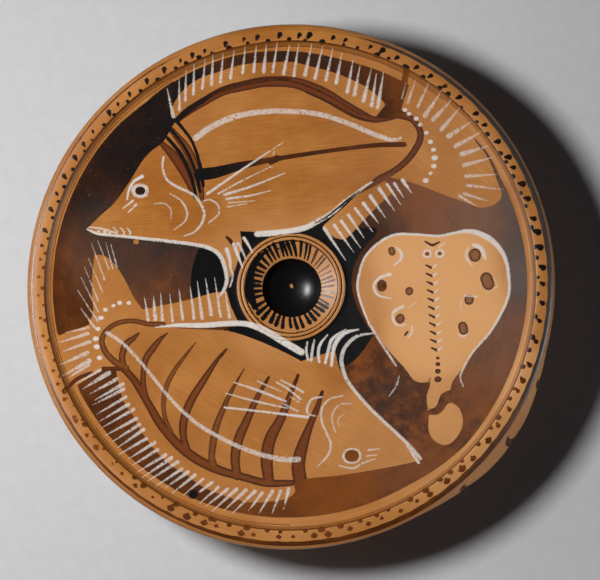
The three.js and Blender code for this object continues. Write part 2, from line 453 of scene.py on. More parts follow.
# %% Upper fish: rays in white
# back fin, tail and belly fin
tapered_row(WHITE, 0.72, [
    (-58, 84.5, -61, 98.5, 2.3), (-55, 88, -55, 103.5, 2.0), (-52, 92.5, -51.5, 107.5, 2.0),
    (-48, 95.5, -47.5, 110, 2.2), (-43.5, 98.5, -42, 112.5, 2.0), (-39, 100.5, -38, 115, 2.3),
    (-34.5, 101.5, -33, 115.5, 2.0), (-29.5, 103.5, -27.5, 117, 2.0), (-23.5, 106, -22, 118.5, 2.0),
    (-18, 106.5, -16.5, 119, 2.2), (-13, 106.5, -11.5, 119.5, 2.5), (-8.5, 106.5, -6, 120.5, 2.0),
    (-3, 105.5, 0, 119.5, 2.5), (2, 104.5, 4.5, 119.5, 2.2), (7.5, 104.5, 11, 119.5, 2.5),
    (12.5, 103, 16.5, 118.5, 2.3), (18, 102, 21.5, 117.5, 2.3), (23, 100.5, 26, 115, 2.5),
    (28.5, 96, 31.5, 111.5, 2.5), (32, 94.5, 35, 109, 2.5), (36.5, 91.5, 40.5, 107, 2.7),
    (40.5, 89, 43, 104.5, 2.5), (43.5, 88, 46.5, 105, 2.7),
])
tapered_row(WHITE, 0.55, [
    (55.5, 92, 57.5, 99.5, 1.1), (58.5, 90, 62.5, 101.5, 1.8), (63.5, 88, 69, 99.5, 2.1),
    (67, 83.5, 75, 95, 3.2), (71, 81.5, 80, 90.5, 3), (75, 76.5, 84, 86.5, 3), (78.5, 73, 89.5, 79.5, 3.2),
    (82, 68, 94.5, 74.5, 3), (85, 64, 98, 67.5, 3.2), (86, 58.5, 100.5, 62, 2.8),
    (87, 53, 102.5, 53.5, 2.4), (87.5, 48.5, 105, 46, 2), (86, 44.5, 97.5, 40.5, 2.2),
    (83.5, 43.5, 91.5, 38.5, 2.2),
])
tapered_row(WHITE, 0.85, [
    (16.5, 29, 27, 13, 2.3), (21.5, 30.5, 31, 17, 2.1), (25, 32.5, 34.5, 19, 2.1),
    (28.5, 35.5, 36.5, 23.5, 2.1), (32, 38.5, 40.5, 27, 2.0), (36, 41, 43.5, 31, 2.5),
    (39.5, 44.5, 47, 33.5, 2.4), (44, 48, 51.5, 37, 2.5), (48, 50, 54.5, 40, 2.0),
    (51.5, 50.5, 56, 43.5, 2.0), (55.5, 52, 60, 45.5, 2.5),
])
# dots along the root of the tail
dots(WHITE, 0.9, [
    (57, 86.5, 1.1), (59, 84.5, 1.1), (62.5, 82, 1.2), (64.5, 79, 1.1), (67.5, 75, 1.1),
    (69.5, 70.5, 1.2), (71, 66.5, 1.2), (71.5, 62.5, 1.5), (71, 58.5, 1.3), (69.5, 55, 1.0),
    (67, 51.5, 1.4),
])
tally("upper fish, rays")

# %% [markdown]
# ## The lower fish
# The same kind of fish, turned to face the other way and banded across its body with brown wash, which is
# the same slip thinned with water.

# %% Lower fish: the areas left bare
fill(RESERVE, [
    (64, -87), (64, -87), (56.5, -77.5), (46, -67.5), (37, -58.5), (27.5, -47), (24, -41), (22, -33),
    (22, -33), (18, -33), (12.5, -34.5), (5, -37), (5, -37), (0.5, -34.5), (-8.5, -30), (-18, -26),
    (-26.5, -23), (-33.5, -21.5), (-45, -21), (-56, -20.5), (-69.5, -19.5), (-69.5, -19.5), (-82, -21),
    (-91, -25), (-92, -31.5), (-87, -37), (-81, -41.5), (-74.5, -49), (-69, -60.5), (-62.5, -71),
    (-54, -79.5), (-45.5, -85.5), (-38, -90), (-25, -94), (-14.5, -97), (-5, -98), (2.5, -97.5),
    (8.5, -95.5), (23.5, -94), (46, -90.5),
], grain=-28)
fill(RESERVE, [
    (-86, -41.5), (-86, -41.5), (-84, -50.5), (-81.5, -58), (-78, -63), (-73, -72), (-66.5, -81),
    (-58.5, -88.5), (-50, -94), (-44, -98.5), (-31.5, -104), (-19, -107), (-8.5, -106.5), (-1, -105),
    (2.5, -102), (2, -98.5), (2, -98.5), (-7, -97.5), (-25.5, -93.5), (-45.5, -85), (-62.5, -70.5),
    (-74.5, -48.5), (-81, -41), (-81, -41),
], grain=-45)
fill(RESERVE, [
    (-97, 16), (-97, 16), (-91.5, 15), (-85.5, 9), (-81, 1.5), (-77.5, -5.5), (-73.5, -11), (-73.5, -11),
    (-68.5, -19.5), (-68.5, -19.5), (-81, -40.5), (-81, -40.5), (-92, -41), (-92, -41), (-98.5, -45),
    (-106.5, -50.5), (-106.5, -50.5), (-117, -38), (-117, -38), (-121, -27), (-121, -27), (-115.5, -25.5),
    (-109.5, -22.5), (-104.5, -21), (-99.5, -19), (-99.5, -19), (-97.5, -12.5), (-98, -4), (-98, 5.5),
], grain=60)
fill(RESERVE, [
    (-74.5, -11.5), (-74.5, -11.5), (-65.5, -9.5), (-56, -7.5), (-46.5, -5), (-37.5, -2.5), (-32, -2),
    (-32, -2), (-30, -9), (-26.5, -17), (-26.5, -17), (-27.5, -19.5), (-27.5, -19.5), (-69.5, -20.5),
    (-69.5, -20.5),
], grain=8)
tally("lower fish, bare clay")

# %% Lower fish: brown bands and back
brush_all(WASH, [
    # root of the tail and back
    (0.75, [
        (-63, -18.5, 2.5), (-70, -18.5, 2.5), (-78, -17, 2.5), (-85, -18, 2.5), (-90.5, -21.5, 2.5),
        (-93, -26.5, 2.7), (-91.5, -32, 3), (-87, -37, 3.2), (-81, -40.5, 3.4),
    ]),
    (0.9, [
        (-83.5, -39.5, 3.4), (-77, -46.5, 3.7), (-70, -58, 3.9), (-64, -68, 4.4), (-55, -78.5, 4.7),
        (-46, -85.5, 4.9), (-35, -91, 4.4), (-23, -94.5, 3.9), (-11.5, -97.5, 3.9), (1, -97.5, 3),
    ]),
    (0.85, [(-92, -41, 2.3), (-87.5, -41, 2.3), (-82, -40.5, 2.5)]),
    (0.95, [(-110.5, -52.5, 2.6), (-108, -49, 2), (-104, -45.5, 1.8), (-98, -43, 1.6)]),
    # bands across the body, each ending in a point
    (0.8, [(-75, -23, 1), (-77.5, -25.5, 2.5), (-81, -28.5, 3.3), (-83, -34, 3.3), (-82.5, -39.5, 3)]),
    (0.8, [
        (-61, -23, 0.6), (-64, -25.5, 2), (-68, -30.5, 3.3), (-71.5, -36, 3.3), (-72.5, -42, 2.8),
        (-72.5, -48.5, 2.7), (-71, -54.5, 2.5),
    ]),
    (0.7, [
        (-47, -27.5, 0.5), (-52, -34, 1.6), (-57, -41, 2.3), (-61, -49, 2.6), (-62.5, -58, 2.5),
        (-61.5, -65.5, 2.2), (-58.5, -72, 2),
    ]),
    (0.85, [
        (-32, -31, 1.2), (-35.5, -35, 1.7), (-43, -46.5, 3.4), (-49.5, -57.5, 4.1), (-52.5, -67, 4.1),
        (-52.5, -74.5, 3.6), (-50.5, -81, 3.2),
    ]),
    (0.75, [
        (-23, -40.5, 0.5), (-28.5, -50.5, 1.8), (-32.5, -59, 2.7), (-36.5, -69.5, 3.4), (-38, -78.5, 3.6),
        (-38.5, -85, 3.4), (-37.5, -89, 3.9),
    ]),
    (0.85, [
        (-11, -45, 1.3), (-16.5, -55, 2.7), (-21.5, -66.5, 4.1), (-25.5, -76, 4.9), (-27, -85, 4.7),
        (-26, -94, 4.2),
    ]),
    (0.9, [
        (3.5, -44, 1.5), (0, -53, 2.6), (-4.5, -65, 4.4), (-10, -76, 5.9), (-11.5, -86, 6.1),
        (-10.5, -96, 5.2),
    ]),
    (0.95, [
        (15.5, -52.5, 1.7), (13, -60.5, 2.8), (9, -70.5, 3.9), (5.5, -81, 5.9), (4, -89, 6.7),
        (5, -96, 6.7),
    ]),
])
# darker tips where the brush was set down
brush_all(DARK, [
    (1, [(-32, -31, 1.1), (-34.5, -34.5, 1.4)]),
    (1, [(-11, -45, 1.2), (-12.5, -48.5, 1.4)]),
    (1, [(3.5, -44, 1.4), (2.5, -47.5, 1.6)]),
    (1, [(15.5, -52.5, 1.5), (14.5, -55, 1.9)]),
])
tally("lower fish, bands and back")

# %% Lower fish: head in white
brush_all(WHITE, [
    # outline of the head and mouth
    (0.78, [
        (41, -23.5, 0.8), (32.5, -25, 1.7), (27, -30, 2), (25, -35.5, 2.1), (25.5, -40.5, 2.1),
        (28, -47, 1.8), (37, -58.5, 1.7), (46, -67.5, 1.7), (56.5, -77.5, 1.7), (60.5, -82, 2),
        (64, -86, 1.6),
    ]),
    (0.85, [(57, -79, 0.7), (59.5, -83, 1.1), (63, -88, 1.5)]),
    # gill and its folds
    (0.75, [(15.5, -55, 0.8), (10.5, -56, 1.3), (8, -61, 1.3), (9, -63.5, 1), (12.5, -64.5, 0.6)]),
    (0.7, [
        (26, -54.5, 0.8), (19.5, -56, 1.1), (15.5, -60.5, 1.2), (15.5, -67.5, 1.2), (18, -73.5, 1.3),
        (20, -78.5, 1.3), (18.5, -84, 1.2), (13.5, -89.5, 0.7),
    ]),
    (0.6, [(30, -58.5, 0.6), (24, -59, 0.9), (20.5, -64.5, 0.9), (22, -72.5, 0.6)]),
    (0.55, [(26.5, -63.5, 0.5), (23.5, -66, 0.7), (24, -70.5, 0.5)]),
    # below and behind the eye
    (0.7, [(24, -89, 0.7), (31, -90.5, 1.1), (35.5, -88, 1), (41.5, -86, 0.7)]),
    (0.8, [(38.5, -81.5, 1), (44, -81, 0.5)]),
    (0.8, [(37.5, -84.5, 0.9), (42.5, -84, 0.6)]),
])
# eye
dot(WHITE, 0.9, 30.3, -84.3, 4.4)
dot(PUPIL, 1, 30.3, -84.3, 3.3)
tally("lower fish, head")

# %% Lower fish: belly and side fin in white
brush_all(WHITE, [
    # belly and side line
    (0.97, [
        (-67, -20, 0.5), (-61.5, -19.5, 1.3), (-56, -19, 2), (-43.5, -19, 2.8), (-30, -18, 2.8),
        (-21, -18.5, 3), (-12.5, -22, 3.4), (-2.5, -28, 3.6), (5, -32.5, 3.6),
    ]),
    (0.62, [
        (-90.5, -23, 2), (-85, -26.5, 1.8), (-77.5, -33.5, 1.7), (-69.5, -43, 1.7), (-57, -58, 1.8),
        (-44.5, -69, 2), (-31.5, -76.5, 2.1), (-21.5, -81, 2.3), (-10.5, -84.5, 2.6), (-2, -86, 2.8),
        (4, -86, 2.9),
    ]),
    # side fin
    (0.75, [(-28, -47.5, 0.8), (-15, -52, 1.5), (-2.5, -57, 1.2)]),
    (0.7, [(-32, -53, 0.7), (-17, -57, 1.1), (-1.5, -60.5, 0.8)]),
    (0.9, [(-32.5, -60, 1.1), (-14.5, -62, 1.2), (8.5, -65, 1.6)]),
    (0.6, [(-16.5, -47, 1), (-5, -52, 0.7)]),
    (0.75, [(-7, -47.5, 0.9), (-0.5, -51.5, 1.1), (5, -56, 1.2)]),
    (0.75, [(-5, -46.5, 0.9), (1, -49.5, 1.2), (6, -52.5, 1.3)]),
    (0.6, [(-4, -58, 0.7), (3.5, -62, 1.2)]),
    (0.6, [(0, -55, 0.7), (4, -57.5, 1)]),
    # curled rays under the throat
    (0.9, [(8, -27.5, 0.9), (7.5, -32, 1.4), (8.5, -36.5, 1.2)]),
    (0.9, [(11.5, -26.5, 0.8), (10.5, -31.5, 1.5), (10, -37, 1.4)]),
    (0.9, [(18, -24, 0.7), (14.5, -28.5, 1.5), (13.5, -32.5, 1.6), (14, -37.5, 1.5)]),
    (0.9, [(27, -21.5, 0.8), (20.5, -26, 1.8), (18.5, -31.5, 1.7), (17, -38, 1.5)]),
    (0.95, [(33.5, -21.5, 0.7), (26, -23.5, 2.2), (21.5, -29.5, 2.2), (20, -39.5, 1.5)]),
])
tally("lower fish, side fin and belly")

# %% Lower fish: rays in white
# fins and tail
tapered_row(WHITE, 0.75, [
    (-70.5, -16.5, -72.5, -4.5, 2.1), (-67, -16, -68, -4.5, 2.7), (-63.5, -16.5, -64.5, -3, 2.0),
    (-58.5, -17, -60, -3.5, 1.8), (-53.5, -16, -55.5, -1, 2.0), (-48, -15.5, -50, 0.5, 2.1),
    (-44, -15.5, -46.5, 3, 2.3), (-39.5, -13.5, -42.5, 4.5, 2.4), (-35, -14.5, -38, 5, 1.9),
    (-30.5, -15, -33, -0.5, 2.0),
])
tapered_row(WHITE, 0.7, [
    (-93.5, -41.5, -105.5, -48.5, 2.1), (-89.5, -43, -102, -51, 3.2), (-85.5, -46, -98.5, -53.5, 2.5),
    (-82.5, -48.5, -96, -56.5, 2.5), (-82, -51, -97, -59, 2.3), (-81, -55, -95, -63.5, 2.3),
    (-79.5, -58.5, -93.5, -67, 2.3), (-77, -61, -92, -70, 2.3), (-75.5, -65.5, -90.5, -74, 2.3),
    (-74, -68.5, -87, -77, 2.3), (-72, -71, -84.5, -80, 2.4), (-70.5, -75.5, -84, -83.5, 2.2),
    (-66.5, -77.5, -79, -85.5, 2.4), (-65, -81, -77.5, -89, 2.3), (-61, -83.5, -74.5, -92, 2.4),
    (-58, -85, -72.5, -95, 2.5), (-55, -87, -69.5, -96.5, 2.4), (-53, -90.5, -65.5, -99, 2.2),
    (-50, -92, -61, -100, 2.4), (-46.5, -93.5, -57.5, -102.5, 2.3), (-42.5, -95.5, -52, -103.5, 2.0),
    (-38, -97, -48, -105, 2.2), (-35, -99.5, -44, -107.5, 2.1), (-30.5, -100.5, -41, -109, 2.2),
    (-26, -100.5, -38, -111.5, 2.4), (-21.5, -101, -32, -111, 2.4), (-17, -101.5, -28, -112.5, 2.4),
    (-13.5, -102.5, -20, -111, 2.3), (-8.5, -101.5, -15, -112.5, 2.4), (-4.5, -101.5, -8.5, -112.5, 2.2),
    (-0.5, -100.5, -3, -110.5, 2.5),
])
tapered_row(WHITE, 0.6, [
    (-92, 3.5, -98.5, 21.5, 1.3), (-90, 9, -95.5, 23, 1.0), (-88, 9, -91.5, 22, 1.1),
    (-86, 10, -89, 21, 1.2), (-93, -2.5, -100, 14, 1.1), (-95, -7, -102, 10, 1.1),
    (-95, -12.5, -103.5, 4.5, 1.2), (-95, -17.5, -105, -2, 1.2), (-96.5, -20.5, -103.5, -11, 1.7),
    (-95, -16.5, -101, -9, 1.5),
])
tapered_row(WHITE, 0.6, [
    (-99.5, -20.5, -110.5, -23, 1.9), (-100, -23.5, -114, -28, 2.4), (-99, -27.5, -112, -32.5, 2.6),
    (-100, -33, -113, -39, 2.8), (-99, -37, -112.5, -45, 3), (-99.5, -39, -109, -45.5, 2.6),
])
# dots along the root of the tail
dots(WHITE, 0.95, [
    (-80, -8, 1.1), (-84.5, -8, 1.2), (-87.5, -9.5, 1.0), (-91.5, -11.5, 1.1), (-93.5, -15.5, 1.3),
    (-95, -21, 1.2), (-96, -26, 1.4), (-95.5, -30, 1.4), (-94, -35.5, 1.3),
])
tally("lower fish, rays")

# %% [markdown]
# ## The ray
# A round flat ray seen from above, with spots on its back and a short tail. Its outline is one white line
# that swells and thins as the brush turned.

# %% Ray: the areas left bare
fill(RESERVE, [
    (41.5, -23.5), (41.5, -23.5), (38.5, -19.5), (35, -11), (33, -2), (33.5, 5), (36.5, 14), (42.5, 20.5),
    (51, 25), (62, 25), (73, 24), (80, 25), (87.5, 26), (94, 25), (100.5, 21), (105.5, 13.5), (107.5, 3.5),
    (107.5, -5.5), (104.5, -14), (98, -24.5), (90, -34), (86, -40), (82, -45), (79.5, -48.5), (78.5, -53),
    (78.5, -53), (76.5, -55.5), (76.5, -55.5), (74, -59), (67.5, -62.5), (67.5, -62.5), (67, -55),
    (68.5, -50.5), (69, -45.5), (69, -45.5), (67, -48), (64, -48.5), (60.5, -47), (56, -41), (51, -35.5),
    (46, -29.5),
], grain=86)
fill(RESERVE, [
    (68, -64.5), (68, -64.5), (72, -64.5), (75, -62.5), (77, -59.5), (79, -58.5), (79, -58.5), (82.5, -61),
    (84.5, -66), (84, -71.5), (80, -77.5), (75.5, -79.5), (70.5, -77), (68, -72.5),
], grain=86)
brush(DARK, 1, [(78, -54, 3), (75, -55.5, 2.7), (74, -59, 3.2), (72, -62, 3), (67.5, -64, 1.8)])
tally("ray, bare clay")

# %% Ray: outline in white
brush_all(WHITE, [
    (0.9, [
        (39, -19.5, 1.1), (35.5, -11, 1.2), (33, -2, 1.3), (33.5, 5, 1.3), (36.5, 14, 1.3),
        (42.5, 20.5, 1.4), (51, 25, 1.4), (62, 25, 1.4), (73, 24, 1.3), (80, 25, 1.5), (87.5, 26, 2.1),
        (93.5, 24.5, 2.8), (100, 20.5, 2.8), (105.5, 13, 2.1), (107.5, 3.5, 1.7), (107.5, -5.5, 1.5),
        (104.5, -13.5, 1.4), (98, -24.5, 1.2), (90, -33.5, 1.1), (86, -40, 1), (83.5, -46, 0.9),
        (85, -51, 0.5),
    ]),
    (0.75, [(39.5, -20, 1.5), (44.5, -28.5, 1.2), (48.5, -34.5, 1.3), (52, -40, 0.8)]),
    (0.6, [(53.5, -45, 0.6), (52, -50, 1.1), (48.5, -55, 0.6)]),
])
tally("ray, outline")

# %% Ray: eyes and spine
for x in (67.5, 73.7):
    ring(WHITE, 0.95, x, 15.3, 1.9, 1)
    dot(DARK, 1, x, 15.3, 1)
brush(WASH, 0.9, [(66.5, 21.5, 0.8), (70, 19.5, 1.3), (73.5, 21, 0.8)])
brush_all(WHITE, [
    (0.8, [(67.5, 19.5, 0.7), (70, 17.8, 0.9)]),
    (0.8, [(76.5, 20.5, 0.7), (73.5, 18.5, 0.9)]),
])
# the spine is a row of angled pairs, brown on the left and white on the right
SPINE_PAIRS = 11
for step in range(SPINE_PAIRS):
    x = 69 + 0.25 * step
    y = 9.5 - 4.1 * step
    brush(WASH, 0.95, [(x - 2.2, y + 0.2, 0.8), (x + 0.4, y - 1.1, 1.3)])
    brush(WHITE, 0.85, [(x + 1.3, y - 1, 1.2), (x + 3.2, y + 0.3, 0.7)])
dots(WASH, 0.95, [(72.5, -36.5, 0.8), (72.5, -39.5, 1.1), (72.5, -43, 1.3), (72.5, -47, 1.6)])
tally("ray, eyes and spine")

# %% Ray: spots
# x, y, breadth, height, lean in degrees
SPOTS = [
    (50, 17, 3.4, 4.6, 15), (45, 0, 4.8, 6, 0), (58.5, -3, 4, 4, 0), (54, -16.5, 4.6, 4.6, 0),
    (57, -24, 1.2, 3, -40), (91, 14, 6, 6.8, 10), (97, 1, 6, 9.2, 20), (88, -8, 4.8, 4.6, 0),
    (85, -22, 4.6, 6.8, 15),
]
for x, y, breadth, height, lean in SPOTS:
    reach = 0.5 * max(height - breadth, 0.3)
    lean_x, lean_y = -math.sin(math.radians(lean)), math.cos(math.radians(lean))
    ends = [(x + side * reach * lean_x, y + side * reach * lean_y, breadth) for side in (-1, 1)]
    brush(WASH, 0.8, ends)
dot(DARK, 1, 45, 0, 2)
# white crescents beside the spots
brush_all(WHITE, [
    (0.8, [(52, 19, 0.7), (54.5, 16.5, 1.7), (54.5, 13, 1.6), (51, 10, 0.7)]),
    (0.85, [(49, 5.5, 2), (44, 4, 1.7), (41, 0, 1.5), (43, -4.5, 1.3), (49.5, -6.5, 0.6)]),
    (0.8, [(55.5, -10.5, 1.7), (51, -13, 1.7), (50.5, -17, 1.5), (53, -20, 1.1), (57.5, -19.5, 0.8)]),
    (0.6, [(58.5, -11, 0.6), (62.5, -8, 0.6)]),
    (0.75, [(59.5, -20, 0.7), (60, -23, 1.2), (58, -26, 0.8)]),
    (0.8, [(88, 18, 0.7), (86.5, 14.5, 1.1), (87.5, 11.5, 1.1), (90, 8.5, 0.6)]),
    (0.95, [(90.5, 19, 2), (94, 17.5, 2.2), (96, 12.5, 1.7)]),
    (0.5, [(100.5, 2, 0.6), (102, -1.5, 0.7), (96.5, -4.5, 0.6)]),
    (0.75, [(86, -6, 1), (92, -6.5, 1)]),
    (0.6, [(84.5, -8, 0.6), (83.5, -11, 0.6), (84.5, -14, 0.5)]),
    (0.75, [(82.5, -25, 0.8), (85, -26, 1.2), (87, -25, 0.8)]),
])
tally("ray, spots")

# %% [markdown]
# ## The second coat
# Close to the figures and round the well the slip was laid twice, and there it fired to a true black with
# a crisp edge. Elsewhere one thin coat left it brown.

# %% Second coat
fill(COAT, [(-49.5, -103), (-47, -105.3), (-44.8, -103), (-47, -100.6)])
dot(PUPIL, 1, -47.1, -102.9, 2.6)
fill(COAT, [
    (-26, 27.5), (-26, 27.5), (-14.5, 30.5), (4.5, 31.5), (19.5, 40), (30.5, 48.5), (30.5, 48.5),
    (35.5, 49.5), (35.5, 49.5), (29, 39), (30, 30), (37, 29), (43, 29), (43, 29), (42, 25.5), (37, 20),
    (32, 12), (30, 3), (32, -8.5), (37.5, -19.5), (41, -24), (41, -24), (35, -33), (30, -38), (26.5, -40),
    (26.5, -40), (22.5, -42), (22.5, -42), (20.5, -32.5), (13.5, -35.5), (5, -37.5), (-10.5, -31.5),
    (-25.5, -25.5), (-34, -22.5), (-34, -22.5), (-28.5, -15.5), (-28.5, -15.5), (-32.5, -3.5), (-29.5, 3.5),
    (-26.5, 13.5),
])
fill(COAT, [
    (-46, 19), (-46, 19), (-48, 13.5), (-49.5, 6), (-49.5, -1.5), (-48.5, -7), (-48.5, -7), (-40, -5),
    (-34.5, -2.5), (-32, 3.5), (-32.5, 10.5), (-36, 17), (-40.5, 20.5),
])
tally("second coat")

# %% [markdown]
# ## Well, collar and rim
# The well is a black cup inside a ring of tongue strokes, all pulled freehand, so their spacing and
# slant vary and some run together. The band on the rim has two rows of dots set down with the tip of the
# brush. A seeded random stream gives the same small slips of the hand at each run.

# %% Tongues round the well
hand = np.random.default_rng(7)
WELL_X, WELL_Y = -0.4, 1.2
# a tongue with more load than this is laid in the slip itself, any other in the thinned wash
FULL_LOAD = 0.9


def polar(radius, degrees):
    """A place round the painted middle of the well, which lies a little off the plate's own."""
    turn = math.radians(degrees)
    return WELL_X + radius * math.cos(turn), WELL_Y + radius * math.sin(turn)


def tongue(start, end, inner, outer, width, load):
    """A stroke pulled from the cup outward, broad at its outer end."""
    middle_place = polar(0.5 * (inner + outer), 0.5 * (start + end))
    width *= hand.uniform(0.8, 1.15)
    root = (*polar(inner, start), 0.55 * width)
    tip = (*polar(outer, end), 1.1 * width)
    brush(DARK if load > FULL_LOAD else WASH, load, [root, (*middle_place, 0.9 * width), tip])


TONGUE_ROOT = 15
TONGUE_TIP = 21.6
# each tongue's angle, slant, width and load, going round from the right
TONGUES = [
    (2, 2, 1.2, 0.9), (9, 1, 1, 0.8), (16, 2, 0.9, 0.7), (24, 3, 0.8, 0.7), (32, 3, 0.9, 0.8),
    (40, 4, 1.1, 0.85), (48, 5, 1.3, 0.9), (56, 6, 1.4, 1), (64, 6, 1.5, 1), (72, 6, 1.7, 1),
    (80, 6, 1.8, 1), (88, 5, 1.8, 1), (96, 3, 1.7, 1), (104, 1, 1.8, 1), (112, 0, 1.7, 1),
    (120, -1, 1.8, 1), (128, -1, 1.9, 1), (136, 0, 2, 1), (145, 0, 2, 1), (154, 0, 2.1, 1),
    (163, 1, 2.1, 1), (172, 0, 2.2, 1), (181, 0, 2.2, 1), (190, 0, 2.2, 1), (200, 0, 2.3, 1),
    (210, 0, 2.1, 1), (220, 1, 2, 1), (230, 1, 1.9, 1), (240, 1, 1.9, 1), (249, 2, 1.7, 1),
    (258, 2, 1.7, 1), (267, 4, 1.6, 1), (276, 4, 1.7, 1), (285, 3, 1.7, 1), (294, 2, 1.6, 1),
    (303, 1, 1.8, 1), (311, 0, 1.6, 1), (319, 0, 1.5, 1), (327, -1, 1.4, 1), (335, -2, 1.3, 1),
    (342, -1, 1.2, 0.95), (349, 0, 1.1, 0.95), (356, 1, 1.1, 0.9),
]
for degrees, slant, width, load in TONGUES:
    start = degrees + hand.uniform(-1, 1)
    end = start + slant + hand.uniform(-2, 2)
    tongue(start, end, TONGUE_ROOT, TONGUE_TIP + hand.uniform(-0.8, 0.4), width, load)
# on the left the tongues ran together at their outer ends
RUN_TOGETHER = [
    (124, 1), (134, 2), (144, 3), (154, 3.2), (164, 3.8), (174, 4.4), (184, 4.6), (194, 4.4), (204, 3.6),
    (216, 1.6),
]
brush(DARK, 1, [(*polar(TONGUE_TIP - 1, degrees), width) for degrees, width in RUN_TOGETHER])
tally("tongues")


# %% Lines turned on the wheel
def wheel_line(paint, load, radius, width, start, end):
    """A brush held still over the turning plate, between two angles in degrees."""
    stops = np.radians(np.arange(start, end + 1, 10))
    brush(paint, load, [(radius * math.cos(turn), radius * math.sin(turn), width) for turn in stops])


wheel_line(DARK, 1, band_inner - 0.2, 0.7, 0, 360)
wheel_line(WASH, 0.3, band_inner - 1.3, 1.6, 0, 360)
wheel_line(DARK, 1, floor_outer - 0.3, 0.4, 120, 270)
wheel_line(WASH, 0.6, floor_outer + 0.1, 0.5, 50, 120)
tally("wheel lines")

# %% Dots on the band
# from, to in degrees, length and width of the outer marks, radius of the inner dots, all with some spread
BAND_MARKS = [
    (-35, 30, 2, 2.9, 1.2, 0.25), (30, 112, 1.8, 2.5, 1.1, 0.3), (112, 170, 1.7, 2.1, 0.95, 0.3),
    (170, 212, 1.2, 1.8, 0.85, 0.3), (212, 250, 0.7, 3, 1.1, 0.5), (250, 325, 0.6, 3.4, 1.35, 0.35),
]
BAND_DOTS = 86
OUTER_ROW = 2.6
INNER_ROW = 0.6
DEGREES_OFF = 1.1
ROW_OFF = 0.3
for start, end, length, width, radius, spread in BAND_MARKS:
    for degrees in np.arange(start, end, 360 / BAND_DOTS):
        turn = math.radians(degrees + hand.uniform(-DEGREES_OFF, DEGREES_OFF))
        out_x, out_y = math.cos(turn), math.sin(turn)
        size = 1 + hand.uniform(-spread, spread)
        place = band_inner + OUTER_ROW + hand.uniform(-ROW_OFF, ROW_OFF)
        tip = place - 0.5 * size * length
        base = place + 0.35 * size * length
        # the tip leans back, against the way the plate was turned
        lean = size * max(length - 1, 0)
        tip_place = (tip * out_x - lean * out_y, tip * out_y + lean * out_x)
        brush(DARK, 1, [(*tip_place, 0.4 * size * width), (base * out_x, base * out_y, size * width)])
        turn = math.radians(degrees + 0.5 * 360 / BAND_DOTS + hand.uniform(-DEGREES_OFF, DEGREES_OFF))
        place = band_inner + INNER_ROW + hand.uniform(-ROW_OFF, ROW_OFF)
        size = radius * (1 + hand.uniform(-spread, spread))
        dot(DARK, 1, place * math.cos(turn), place * math.sin(turn), size)
tally("band")

# %% [markdown]
# ## The painted side as a mesh
# A grid fine enough for hairlines everywhere would need millions of faces. Instead the mesh is cut along
# every outline and along the middle of every stroke, and kept coarse between them. Blender's constrained
# triangulation does that in plan, and the section then lifts each point to its height.

# %% Lines to cut the mesh along
RIM_STEPS = 480
# points on a circle, and how far apart they stand on the floor in millimetres
MOST_AROUND = 360
FEWEST_AROUND = 72
FLOOR_SPACING = 2.4
# points this far outside each stroke keep the gaps between strokes open
GUARD = 0.3
# where a stroke's round ends get their points, in radians from straight ahead
CAP_TURNS = (0.9, 0.3, -0.3, -0.9)


def stroke_outline(line, wider):
    """Points round a stroke with its two round ends, a little outside its edge if asked."""
    ahead = np.gradient(line[:, :2], axis=0)
    ahead /= np.linalg.norm(ahead, axis=1)[:, None] + 1e-9
    half = 0.5 * line[:, 2:3] + wider
    across = np.column_stack([-ahead[:, 1], ahead[:, 0]])
    left, right = line[:, :2] + across * half, line[:, :2] - across * half
    caps = []
    for end, way in ((-1, 1), (0, -1)):
        for turn in CAP_TURNS:
            swung = way * (math.cos(turn) * ahead[end] + math.sin(turn) * across[end])
            caps.append(line[end, :2] + swung * half[end])
    count = len(CAP_TURNS)
    return np.vstack([left, caps[:count], right[::-1], caps[count:]])


def circle(radius, count):
    """Points round the plate's middle."""
    turns = np.arange(count) * 2 * math.pi / count
    return np.column_stack([radius * np.cos(turns), radius * np.sin(turns)])


cuts = [("loop", circle(band_outer, RIM_STEPS))]
for radius, _ in above[1:-1]:
    on_rim = radius > floor_outer
    steep = on_rim or radius < COLLAR_RADIUS + 0.5
    wanted = np.clip(2 * math.pi * radius / FLOOR_SPACING, FEWEST_AROUND, MOST_AROUND)
    count = MOST_AROUND if on_rim else int(wanted)
    # only where the section is steep or bent do the mesh's edges have to follow the circle
    cuts.append(("loop" if steep else "loose", circle(radius, count)))
for _, outline, _ in areas:
    cuts.append(("loop", outline))
for _, _, line in strokes:
    cuts.append(("loop", stroke_outline(line, 0)))
    cuts.append(("loose", stroke_outline(line, GUARD)))
    cuts.append(("line", line[:, :2]))
print(len(cuts), "lines to cut along")

# %% Triangulate in plan
# points nearer to each other than this are one
SAME_POINT = 1e-4
plan, edges = [], []
for kind, points in cuts:
    start = len(plan)
    plan.extend(Vector(point) for point in points)
    if kind != "loose":
        edges.extend((start + i, start + i + 1) for i in range(len(points) - 1))
    if kind == "loop":
        edges.append((start + len(points) - 1, start))
plan.append(Vector((0, 0)))
found, _, triangles, origins, _, _ = delaunay_2d_cdt(plan, edges, [], 0, SAME_POINT, True)
flat = np.array([tuple(point) for point in found])
triangles = np.array(triangles)
rim_index = {source: i for i, sources in enumerate(origins) for source in sources if source < RIM_STEPS}
print(len(flat), "points and", len(triangles), "triangles on the painted side")

# %% [markdown]
# ## How deep each point lies in the paint
# Every point of the mesh now gets a few numbers: how many millimetres it lies inside or outside each
# paint's edge. The material turns them into edges as sharp or as soft as it likes, and can fray them with
# noise, which a painted picture could not. A number above zero is inside.


# %% Depth inside an outline or a stroke
# no depth is followed further than this from an edge
EDGE_REACH = 4.0


def near(points, line, margin):
    """Which points lie in the box round a line."""
    low = line[:, :2].min(0) - margin
    high = line[:, :2].max(0) + margin
    return np.flatnonzero(((points > low) & (points < high)).all(1))


